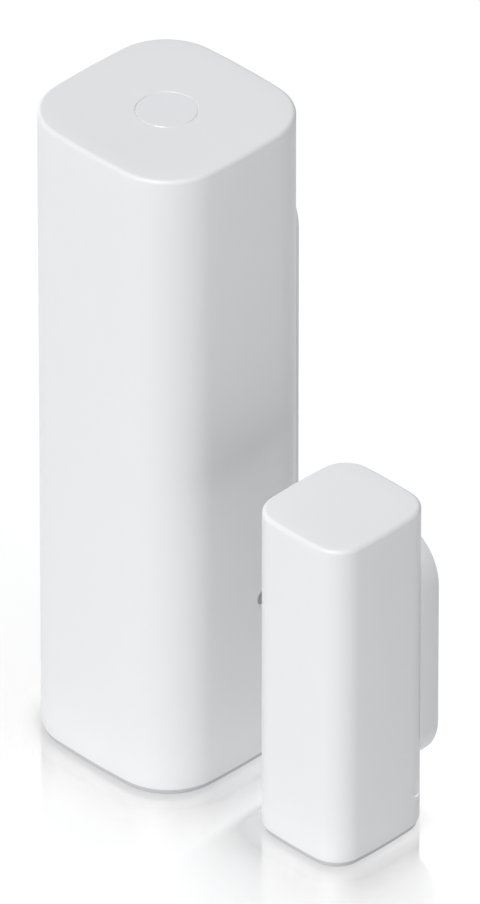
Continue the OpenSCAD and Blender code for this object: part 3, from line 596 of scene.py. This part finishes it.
def sensor_housing():
    z0, z1 = SENSOR_LOW.z, SENSOR_HIGH.z
    low, high = mm_box("status_window")
    hole = ((high.x - low.x) / 2 + SEAM, high.z - low.z + WINDOW_ROOM, LIGHT_HOLE_R)
    shell = sleeve("shell", SENSOR, z0, z1, SENSOR_WALL, SENSOR_TOP, hole)
    cutters, bosses = hook_pockets(SENSOR, SENSOR_WALL, SENSOR_HOOK, "sensor_bracket")
    post_z = mm_box("chassis")[0].z + CHASSIS_FLOOR_T
    board_x = mm_box("main_board")[0].x - 0.1
    post_top = z1 - SENSOR_TOP + BITE
    posts = [rod("z", POST_R, post_z, post_top, POST_X, s * POST_Y) for s in (-1, 1)]
    ribs = []
    for s in (-1, 1):
        near = (RIB_X, s * RIB_Y - RIB_HALF_W, RIB_Z[0])
        ribs.append(box_mesh(near, (board_x, s * RIB_Y + RIB_HALF_W, RIB_Z[1]), RIB_EDGE))
    add(shell, *bosses, *posts, *ribs)
    dot_x = mm_box("alignment_dot")[0].x
    cutters.append(rod("x", DOT_HOLE_R, dot_x, SENSOR.a + PAST, *axis_of("alignment_dot", "x")))
    plunger_at = axis_of("tamper_plunger", "y")
    cutters.append(rod("y", PLUNGER_HOLE_R, SENSOR.b - 3, SENSOR.b + PAST, *plunger_at))
    bore_low, bore_high = (post_z + z for z in POST_BORE)
    cutters += [rod("z", POST_BORE_R, bore_low, bore_high, POST_X, s * POST_Y) for s in (-1, 1)]
    cut(shell, *cutters)
    return finished(shell, "sensor_housing_shell", "housing_white", "sensor_unit", "sensor_housing")


def magnet_housing():
    shell = sleeve("shell", MAGNET, MAGNET_LOW.z, MAGNET_HIGH.z, MAGNET_WALL, MAGNET_TOP)
    cutters, bosses = hook_pockets(MAGNET, MAGNET_WALL, MAGNET_HOOK, "magnet_bracket")
    add(shell, *bosses)
    for s in (-1, 1):
        near, far = sorted(MAGNET.x + s * x for x in DIMPLE_X)
        cutters.append(rod("x", DIMPLE_R, near, far, DIMPLE_Y, DIMPLE_Z))
    cut(shell, *cutters)
    return finished(shell, "magnet_housing_shell", "housing_white", "magnet_unit", "magnet_housing")


def corner(r, z, radius, up=1.0):
    """(radius, height) pairs round the corner at r, z, from the flat end to the side."""
    return [(r - radius * (1 - math.sin(t)), z - up * radius * (1 - math.cos(t))) for t in quarter_turn()]


def wire(path, r, sides=14):
    """A round wire along a path."""
    rings = []
    for i, p in enumerate(path):
        ahead, behind = Vector(path[min(i + 1, len(path) - 1)]), Vector(path[max(i - 1, 0)])
        along = (ahead - behind).normalized()
        across = Vector((0.0, 0.1, 1.0)).cross(along).normalized()
        third = along.cross(across)
        rings.append([tuple(Vector(p) + r * (u * across + v * third)) for u, v in circle(1.0, sides)])
    return piece("wire", *loft(rings), smooth=60.0)


def coil(x, y, r0, r1, z0, z1, turns, steps=40):
    """Points up a coil. It starts at +Y, as the coils of the design do."""
    n = int(turns * steps)
    path = []
    for i in range(n + 1):
        k = i / n
        r, t = r0 + (r1 - r0) * k, math.pi / 2 + 2 * math.pi * i / steps
        path.append((x + r * math.cos(t), y + r * math.sin(t), z0 + (z1 - z0) * k))
    return path


def stadium(half_w, x, z_low, z_high, y0, y1, edge, steps=28):
    """An upright round-ended plate in the XZ plane, with both its rims rounded by edge."""
    mid_low, mid_high = z_low + half_w, z_high - half_w
    rings = []
    for inset, y in rims(y0, y1, edge):
        half = arc((0.0, 0.0), half_w - inset, 0.0, math.pi, steps)
        upper = [(x + u, y, mid_high + v) for u, v in half]
        lower = [(x - u, y, mid_low - v) for u, v in half]
        rings.append(upper + lower)
    return piece("stadium", *loft(rings))


def axis_of(node, axis):
    """The other two coordinates of a round piece's axis."""
    low, high = mm_box(node)
    mid = (low + high) / 2
    return {"x": (mid.y, mid.z), "y": (mid.x, mid.z), "z": (mid.x, mid.y)}[axis]


def bracket(node, shape, plate_t, reach, hook, hole, slot=None):
    """A bracket plate with rounded edges, its hooks and its countersunk holes."""
    low, high = mm_box(node)
    x = shape.x
    y1, y0 = high.y, high.y - plate_t
    middle = (low.z + high.z) / 2
    plate = stadium(BRACKET_HALF_W, x, low.z, high.z, y0 - reach, y1, BRACKET_EDGE)
    if reach:
        core = piece("core", *loft([shape.ring(-0.05, low.z - PAST), shape.ring(-0.05, high.z + PAST)]))
        cut(plate, core)
    hooks, cutters = [], []
    face = shape.b - hook.lip - HOOK_PLAY
    for s in (-1, 1):
        z = middle + s * hook.spacing / 2
        z0, z1 = z - hook.height / 2, z + hook.height / 2
        hooks.append(box_mesh((x - NECK_HALF_W, face - 0.05, z0), (x + NECK_HALF_W, y0 + BITE, z1)))
        head_low, head_high = (x - HEAD_HALF_W, face - hook.head_t, z0), (x + HEAD_HALF_W, face, z1)
        hooks.append(box_mesh(head_low, head_high, HOOK_EDGE))
    add(plate, *hooks)
    for s in (-1, 1):
        z = middle + s * hole.spacing / 2
        cutters.append(rod("y", hole.r, y0 - PAST, y1 + PAST, x, z))
        cutters.append(turned("y", [(hole.head_r + 0.05, y0 - 0.05), (hole.r, y0 + hole.head_h)], x, z))
    if slot:
        slot_x, slot_low, slot_high, slot_r = slot
        cutters.append(stadium(slot_r, slot_x, slot_low, slot_high, y0 - PAST, y1 + PAST, 0.01))
    cut(plate, *cutters)
    return finished(plate, node + "_shell", "bracket_white", node, node)


def brackets():
    x, z = axis_of("tamper_plunger", "y")
    slot = (x, z - SLOT_BELOW, z + SLOT_ABOVE, SLOT_R)
    bracket("sensor_bracket", SENSOR, SENSOR_PLATE_T, 0.0, SENSOR_HOOK, SENSOR_HOLE, slot)
    bracket("magnet_bracket", MAGNET, MAGNET_PLATE_T, MAGNET_REACH, MAGNET_HOOK, MAGNET_HOLE)


def end_caps():
    """The base cap and the magnet's end cap: a foot with a plug on it. The base cap has a seal."""
    strip = round_over(STRIP_INSET, STRIP_FOOT_EDGE, STRIP_FOOT_EDGE, 3, -1.0)[::-1]
    strip += [(STRIP_INSET, STRIP_T - STRIP_TOP_EDGE), (STRIP_INSET + STRIP_TOP_EDGE, STRIP_T)]
    groove_low, groove_high = GROOVE_Z
    plug = [(SENSOR_PLUG, STRIP_T), (SENSOR_PLUG, groove_low), (GROOVE_INSET, groove_low)]
    plug += [(GROOVE_INSET, groove_high), (SENSOR_PLUG, groove_high)]
    plug += [(SENSOR_PLUG, SENSOR_PLUG_TOP), (SENSOR_PLUG + 0.3, SENSOR_PLUG_TOP + 0.3)]
    cap = piece("cap", *loft([SENSOR.ring(i, z) for i, z in strip + plug]))
    cell_x, _ = axis_of("battery_can", "z")
    cutters = [rod("z", CONTACT_BORE_R, *CONTACT_BORE_Z, cell_x, s * CONTACT_BORE_Y) for s in (-1, 1)]
    half_w, deep, high, edge = PULL_NOTCH
    notch_low, notch_high = (-half_w, SENSOR.b - deep, -PAST), (half_w, SENSOR.b + PAST, high)
    cutters.append(box_mesh(notch_low, notch_high, edge))
    cut(cap, *cutters)
    finished(cap, "base_cap_shell", "strip_grey", "battery_tray", "base_cap")
    plug = [(MAGNET_PLUG, STRIP_T), (MAGNET_PLUG, MAGNET_PLUG_TOP)]
    plug += [(MAGNET_PLUG + 0.25, MAGNET_PLUG_TOP + 0.25)]
    cap = piece("cap", *loft([MAGNET.ring(i, z) for i, z in strip + plug]))
    finished(cap, "magnet_end_cap_shell", "strip_grey", "magnet_unit", "magnet_end_cap")
    # the seal's section has two lips, above and below its waist
    lip = [(2.58, 0.75), (2.0, 0.75), (1.72, 0.65), (1.65, 0.5), (1.72, 0.35)]
    waist = (groove_low + groove_high) / 2
    seal = [(i, waist - h) for i, h in lip] + [(1.9, waist)] + [(i, waist + h) for i, h in lip[::-1]]
    gasket = piece("gasket", *loft([SENSOR.ring(i, z) for i, z in seal], closed=True))
    finished(gasket, "cap_gasket_shell", "seal_grey", "battery_tray", "cap_gasket", smooth=50.0)


def small_marks():
    low, high = mm_box("status_window")
    r, edge = (high.x - low.x) / 2, SEAM_CHAMFER
    profile = [(0.3, low.z), (r, low.z), (r, high.z - edge), (r - edge, high.z), (0.3, high.z)]
    window = turned("z", profile, *axis_of("status_window", "z"), 96)
    finished(window, "status_window_disc", "window_white", "sensor_unit", "status_window")
    low, high = mm_box("alignment_dot")
    dot = rod("x", (high.y - low.y) / 2, low.x, high.x, *axis_of("alignment_dot", "x"), 48, 0.12)
    finished(dot, "alignment_dot_plug", "dot_grey", "sensor_unit", "alignment_dot")


def crimp(r, z):
    """(radius, height) pairs down into and out of the rolled groove at height z."""
    steps = [(0.0, 0.75), (0.1, 0.55), (0.45, 0.15)]
    return [(r - d, z - h) for d, h in steps] + [(r - d, z + h) for d, h in steps[::-1]]


def battery():
    at = axis_of("battery_can", "z")
    low, high = mm_box("battery_can")
    r, z0, z1 = (high.x - low.x) / 2, low.z, high.z
    outside = [(0.2, z0), (r - 1.2, z0)] + corner(r, z0, 0.7, up=-1.0) + crimp(r, z1 - 2.45)
    outside += corner(r, z1, 0.5)[::-1] + [(r - 1.5, z1), (0.2, z1)]
    finished(turned("z", outside, *at, 96), "battery_can_shell", "steel", "battery_tray", "battery_can")

    low, high = mm_box("battery_wrap")
    r, z0, z1, film_t = (high.x - low.x) / 2, low.z, high.z, 0.1
    film = [(r - 0.12, z0 + 0.02), (r, z0 + 0.25)] + crimp(r, z1 - 2.25)
    film += [(r, z1 - 0.2), (r - 0.12, z1 - 0.02)]
    inner = [(a - film_t, b) for a, b in film[::-1]]
    wrap = turned("z", film + inner + [film[0]], *at, 96)
    finished(wrap, "battery_wrap_film", "wrap_blue", "battery_tray", "battery_wrap", smooth=50.0)

    low, high = mm_box("battery_ring")
    r, hole_r, z0, z1 = (high.x - low.x) / 2, 3.4, low.z, high.z
    ring = [(hole_r, z0), (hole_r, z1 - 0.05), (hole_r + 0.05, z1)]
    ring += [(r - 0.1, z1), (r, z1 - 0.1), (r, z0), (hole_r, z0)]
    finished(turned("z", ring, *at, 72), "battery_ring_washer", "inner_white", "battery_tray", "battery_ring")

    low, high = mm_box("battery_terminal")
    r, z0, z1 = (high.x - low.x) / 2, low.z, high.z
    button = [(0.2, z0), (r, z0), (r, z0 + 0.25), (r - 0.25, z0 + 0.32)]
    button += [(r - 0.3, z1 - 0.25), (r - 0.42, z1 - 0.08), (r - 0.7, z1)]
    button += [(1.0, z1), (0.8, z1 - 0.08), (0.2, z1 - 0.08)]
    top = turned("z", button, *at, 72)
    vents = []
    for t in (0.0, 2.094, 4.189):
        x, y = at[0] + 1.7 * math.cos(t), at[1] + 1.7 * math.sin(t)
        vents.append(rod("z", 0.28, z1 - 0.3, z1 + PAST, x, y, 24))
    cut(top, *vents)
    finished(top, "battery_terminal_button", "nickel", "battery_tray", "battery_terminal")


def coils():
    low, high = mm_box("negative_spring")
    r = NEGATIVE_WIRE_R
    path = coil(*axis_of("battery_can", "z"), *NEGATIVE_COIL_R, low.z + r, high.z - r, NEGATIVE_TURNS)
    spring = wire(path, r)
    finished(spring, "negative_spring_wire", "steel", "battery_tray", "negative_spring", smooth=60.0)

    low, high = mm_box("antenna_coil")
    r, (x, y) = ANTENNA_WIRE_R, ANTENNA_AT
    lead_y, lead_z = y + ANTENNA_COIL_R, low.z + r
    lead = [(end, lead_y, lead_z) for end in (mm_box("main_board")[0].x, x + 4.0, x + 1.0)]
    turns = coil(x, y, ANTENNA_COIL_R, ANTENNA_COIL_R, lead_z, high.z - r, ANTENNA_TURNS)
    antenna = wire(lead + turns, r)
    finished(antenna, "antenna_coil_wire", "copper", "sensor_unit", "antenna_coil", smooth=60.0)

    low, high = mm_box("tamper_spring")
    x, z = axis_of("tamper_plunger", "y")
    r = TAMPER_WIRE_R
    turns = coil(0.0, 0.0, TAMPER_COIL_R, TAMPER_COIL_R, low.y + r, high.y - r, TAMPER_TURNS)
    spring = wire([(x + a, c, z - b) for a, b, c in turns], r, 10)
    finished(spring, "tamper_spring_wire", "steel", "sensor_unit", "tamper_spring", smooth=60.0)
    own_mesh(spring)


def plunger():
    """The tamper plunger: stem, flange and a domed tip, all on one axis towards the wall."""
    low, high = mm_box("tamper_plunger")
    start, end, e = FLANGE_Y, FLANGE_Y + FLANGE_T, EDGE_BREAK
    side = [(0.1, low.y), (STEM_R - e, low.y), (STEM_R, low.y + e), (STEM_R, start)]
    side += [(FLANGE_R - e, start), (FLANGE_R, start + e), (FLANGE_R, end - e), (FLANGE_R - e, end)]
    side += [(TIP_R, end)]
    for t in quarter_turn(6):
        side.append((TIP_R - DOME * (1 - math.cos(t)), high.y - DOME * (1 - math.sin(t))))
    side.append((0.1, high.y))
    pin = turned("y", side, *axis_of("tamper_plunger", "y"), 48)
    finished(pin, "tamper_plunger_pin", "inner_white", "tamper_plunger", "tamper_plunger")


sensor_housing()
magnet_housing()
brackets()
end_caps()
small_marks()
battery()
coils()
plunger()

# ---------------------------------------------------------------------------
# Materials on the pieces that are shown as they are

slots = {part["node"]: part["material_slot"] for part in frame["record"]["subparts"]}
for name, obj in NODES.items():
    if not obj.hide_render:
        paint(obj, slots[name])
        soften(obj, 30.0)

# ---------------------------------------------------------------------------
# Floor, light and camera


# The surround's colour, its mean brightness, and how that drifts along X, Y and the height
SURROUND_COLOUR = (0.985, 0.99, 1.0, 1.0)
SURROUND = 0.03
SURROUND_DRIFT = (-0.015, 0.0, 0.395)
# Two broad lights. Angles are in degrees.
Sun = namedtuple("Sun", "energy azimuth elevation angle")
KEY = Sun(energy=2.77, azimuth=13.0, elevation=54.6, angle=25.0)
FILL = Sun(energy=0.62, azimuth=-100.0, elevation=8.0, angle=30.0)

# Floor: half its size and its drop below the feet, in metres
FLOOR_HALF, FLOOR_DROP = 30.0, 0.00002
# How fast its mirroring fades away from the units, in millimetres
FLOOR_FADE = 4.8
# The mirroring's share at the contact, and the distance in millimetres at which it is whole
MIRROR_AT_CONTACT, MIRROR_WHOLE = 0.2, 2.4
MIRROR_COLOUR, MIRROR_ROUGHNESS = (1.0, 0.985, 0.98), 0.07
# How far the floor's wide and close painted shades spread, in millimetres, and their depths
PAINTED_WIDE_SHADE = (22.0, 0.175)
PAINTED_CLOSE_SHADE = (1.5, 0.2)
# The dome that the floor mirrors: its radius in metres and its brightness
DOME_R, DOME_GLOW = 26.0, 0.76

# Camera: where it looks from, in degrees and metres, and the height of the picture in millimetres
VIEW_AZIMUTH, VIEW_ELEVATION, VIEW_DISTANCE = 45.0, 34.87, 2.4
PICTURE_HEIGHT, FILM_HEIGHT = 101.45, 36.0
# How far the picture's middle is to the right of and below the sensor's middle, in millimetres
AIM_RIGHT, AIM_DOWN = 8.15, 4.06


def stage_piece(name, verts, faces, mat):
    """A piece of the stage, from points in metres."""
    mesh = bpy.data.meshes.new(name)
    mesh.from_pydata(verts, [], faces)
    mesh.materials.append(mat)
    obj = bpy.data.objects.new(name, mesh)
    COLLECTION.objects.link(obj)
    return obj


def falloff(s, distance, reach):
    """Fades from 1 with the distance. The reach is in millimetres."""
    return s.math("EXPONENT", s.math("MULTIPLY", distance, -1.0 / (reach * MM)))


def beside(s, spot, shape):
    """Distance in metres from a housing's footprint, as a node value."""
    size = s.vector("ABSOLUTE", s.vector("SUBTRACT", spot, (shape.x * MM, 0.0, 0.0)))
    # the third part is more than any height, so heights count for nothing
    core = ((shape.a - shape.r) * MM, (shape.b - shape.r) * MM, 10.0)
    past = s.vector("MAXIMUM", s.vector("SUBTRACT", size, core))
    return s.math("SUBTRACT", s.vector("LENGTH", past), shape.r * MM)


def floor():
    """A white floor that mirrors what stands on it close to the contact, with painted shade near the units,
    and is plain further out.
    """
    s = Shader("floor_white")
    cloud = s.noise(9.0, 3.0, 0.5)
    white = s.mix(s.span(cloud, 0.3, 0.7), (0.985, 0.982, 0.98), (0.99, 0.987, 0.985))
    geometry = s.tree.nodes.new("ShaderNodeNewGeometry")
    spot = geometry.outputs["Position"]
    x, y, _ = s.split(spot)
    # the magnet's mirror image goes with it when the door opens
    carried = s.tree.nodes.new("ShaderNodeTexCoord")
    carried.object = bpy.data.objects["magnet_housing_shell"]
    beside_magnet = carried.outputs["Object"]
    # the gap between the units mirrors the sensor, and hardly the magnet's hidden side
    left = s.math("SUBTRACT", (MAGNET.x - MAGNET.a) * MM, s.split(beside_magnet)[0])
    gap = s.math("MAXIMUM", left, 0.0)
    extra = s.math("MULTIPLY", s.math("MULTIPLY", gap, gap), 1.0 / MM)
    magnet = s.math("ADD", beside(s, beside_magnet, MAGNET), extra)
    either = s.math("SMOOTH_MIN", beside(s, spot, SENSOR), magnet, 3.0 * MM)
    nearest = s.math("MAXIMUM", either, 0.0)

    # painted shade: the floor's colour is darkened near the units, widely and most in front of them, where
    # they throw more light on the floor than beside them, and closely at the contact as a painted contact
    # shadow
    leaning = s.math("ADD", y, s.math("MULTIPLY", x, 0.35))
    front = s.span(leaning, 15.0 * MM, -1.0 * MM)
    (wide, wide_depth), (close, close_depth) = PAINTED_WIDE_SHADE, PAINTED_CLOSE_SHADE
    painted_wide_shade = s.math("MULTIPLY", s.math("MULTIPLY", falloff(s, nearest, wide), front), wide_depth)
    painted_close_shade = s.math("MULTIPLY", falloff(s, nearest, close), close_depth)
    # the painted shade darkens the floor's white towards black
    base = s.mix(s.math("ADD", painted_wide_shade, painted_close_shade, clamp=True), white, (0.0, 0.0, 0.0))
    roughness = s.span(s.noise(60.0, 2.0), 0.3, 0.7, 0.3, 0.34)
    ripple = s.bump(s.noise(900.0), 0.0004 * MM)
    s.set(Base_Color=base, Roughness=roughness, Specular_IOR_Level=0.3, Normal=ripple)

    mirror = s.tree.nodes.new("ShaderNodeBsdfGlossy")
    s.put(mirror.inputs["Color"], MIRROR_COLOUR)
    mirror.inputs["Roughness"].default_value = MIRROR_ROUGHNESS
    # the housings' lit lower rims would mirror as a bright line, so the mirror comes in past them
    share = s.span(either, 0.0, MIRROR_WHOLE * MM, MIRROR_AT_CONTACT, 1.0)
    mixed = s.tree.nodes.new("ShaderNodeMixShader")
    s.link(s.math("MULTIPLY", falloff(s, nearest, FLOOR_FADE), share), mixed.inputs[0])
    s.link(s.bsdf.outputs[0], mixed.inputs[1])
    s.link(mirror.outputs[0], mixed.inputs[2])
    # from below the floor is clear, so that the bases can be seen
    shown = s.tree.nodes.new("ShaderNodeMixShader")
    s.link(geometry.outputs["Backfacing"], shown.inputs[0])
    s.link(mixed.outputs[0], shown.inputs[1])
    s.link(s.tree.nodes.new("ShaderNodeBsdfTransparent").outputs[0], shown.inputs[2])
    s.link(shown.outputs[0], s.out.inputs["Surface"])
    h = FLOOR_HALF
    corners = [(-h, -h, -FLOOR_DROP), (h, -h, -FLOOR_DROP), (h, h, -FLOOR_DROP), (-h, h, -FLOOR_DROP)]
    return stage_piece("floor", corners, [(0, 1, 2, 3)], s.mat)


def world():
    """A soft surround whose brightness drifts with direction."""
    w = bpy.data.worlds.new("surround")
    bpy.context.scene.world = w
    w.use_nodes = True
    t = w.node_tree
    t.nodes.clear()
    out = t.nodes.new("ShaderNodeOutputWorld")
    back = t.nodes.new("ShaderNodeBackground")
    back.inputs["Color"].default_value = SURROUND_COLOUR
    split = t.nodes.new("ShaderNodeSeparateXYZ")
    height = t.nodes.new("ShaderNodeMath")
    height.operation = "ABSOLUTE"
    whole = t.nodes.new("ShaderNodeCombineXYZ")
    t.links.new(t.nodes.new("ShaderNodeTexCoord").outputs["Generated"], split.inputs[0])
    t.links.new(split.outputs[2], height.inputs[0])
    for part, socket in zip((split.outputs[0], split.outputs[1], height.outputs[0]), whole.inputs):
        t.links.new(part, socket)
    drift = t.nodes.new("ShaderNodeVectorMath")
    drift.operation = "DOT_PRODUCT"
    drift.inputs[1].default_value = SURROUND_DRIFT
    t.links.new(whole.outputs[0], drift.inputs[0])
    total = t.nodes.new("ShaderNodeMath")
    total.operation = "ADD"
    total.inputs[1].default_value = SURROUND
    t.links.new(drift.outputs["Value"], total.inputs[0])
    # the camera sees plain white behind the floor's edge
    seen = t.nodes.new("ShaderNodeMix")
    seen.inputs["B"].default_value = 1.0
    t.links.new(t.nodes.new("ShaderNodeLightPath").outputs["Is Camera Ray"], seen.inputs["Factor"])
    t.links.new(total.outputs[0], seen.inputs["A"])
    t.links.new(seen.outputs["Result"], back.inputs["Strength"])
    t.links.new(back.outputs[0], out.inputs["Surface"])


def dome(lit):
    """A white surround that only the floor mirrors."""
    mat = bpy.data.materials.new("dome_light")
    mat.use_nodes = True
    mat.cycles.emission_sampling = "NONE"
    t = mat.node_tree
    t.nodes.clear()
    out = t.nodes.new("ShaderNodeOutputMaterial")
    both = t.nodes.new("ShaderNodeAddShader")
    glow = t.nodes.new("ShaderNodeEmission")
    glow.inputs["Strength"].default_value = DOME_GLOW
    t.links.new(t.nodes.new("ShaderNodeBsdfTransparent").outputs[0], both.inputs[0])
    t.links.new(glow.outputs[0], both.inputs[1])
    t.links.new(both.outputs[0], out.inputs["Surface"])
    levels = 12
    rings = []
    for j in range(levels):
        t = math.pi / 2 * j / levels
        rings.append([(x, y, DOME_R * math.sin(t) - 0.5) for x, y in circle(DOME_R * math.cos(t), 48)])
    obj = stage_piece("dome", *loft(rings), mat)
    for kind in ("camera", "diffuse", "transmission", "volume_scatter", "shadow"):
        setattr(obj, "visible_" + kind, False)
    receivers = bpy.data.collections.new("dome_receivers")
    receivers.objects.link(lit)
    obj.light_linking.receiver_collection = receivers


def direction(azimuth, elevation):
    """Towards a place in the sky, from angles in degrees. The front is at azimuth 0."""
    a, e = math.radians(azimuth), math.radians(elevation)
    return Vector((math.sin(a) * math.cos(e), -math.cos(a) * math.cos(e), math.sin(e)))


def sun(name, light):
    """A broad light that casts no shadow, so the floor stays clean."""
    data = bpy.data.lights.new(name, "SUN")
    data.energy = light.energy
    data.angle = math.radians(light.angle)
    data.color = (0.99, 0.995, 1.0)
    data.use_shadow = False
    obj = bpy.data.objects.new(name, data)
    COLLECTION.objects.link(obj)
    obj.rotation_mode = "QUATERNION"
    obj.rotation_quaternion = direction(light.azimuth, light.elevation).to_track_quat("Z", "Y")


def camera():
    back = direction(VIEW_AZIMUTH, VIEW_ELEVATION)
    right = direction(VIEW_AZIMUTH + 90.0, 0.0)
    up = back.cross(right)
    middle = (SENSOR_LOW + SENSOR_HIGH) / 2
    target = (middle + right * AIM_RIGHT - up * AIM_DOWN) * MM
    data = bpy.data.cameras.new("camera")
    data.sensor_width = FILM_HEIGHT
    data.lens = FILM_HEIGHT * VIEW_DISTANCE / (PICTURE_HEIGHT * MM)
    data.clip_start, data.clip_end = 0.1, 100.0
    cam = bpy.data.objects.new("camera", data)
    COLLECTION.objects.link(cam)
    cam.rotation_mode = "QUATERNION"
    cam.location = target + back * VIEW_DISTANCE
    cam.rotation_quaternion = back.to_track_quat("Z", "Y")
    bpy.context.scene.camera = cam


dome(floor())
world()
sun("key", KEY)
sun("fill", FILL)
camera()
scene = bpy.context.scene
scene.view_settings.view_transform = "Standard"
scene.view_settings.look = "None"
scene.view_settings.exposure = 0.0
scene.view_settings.gamma = 1.0

bpy.context.view_layer.update()
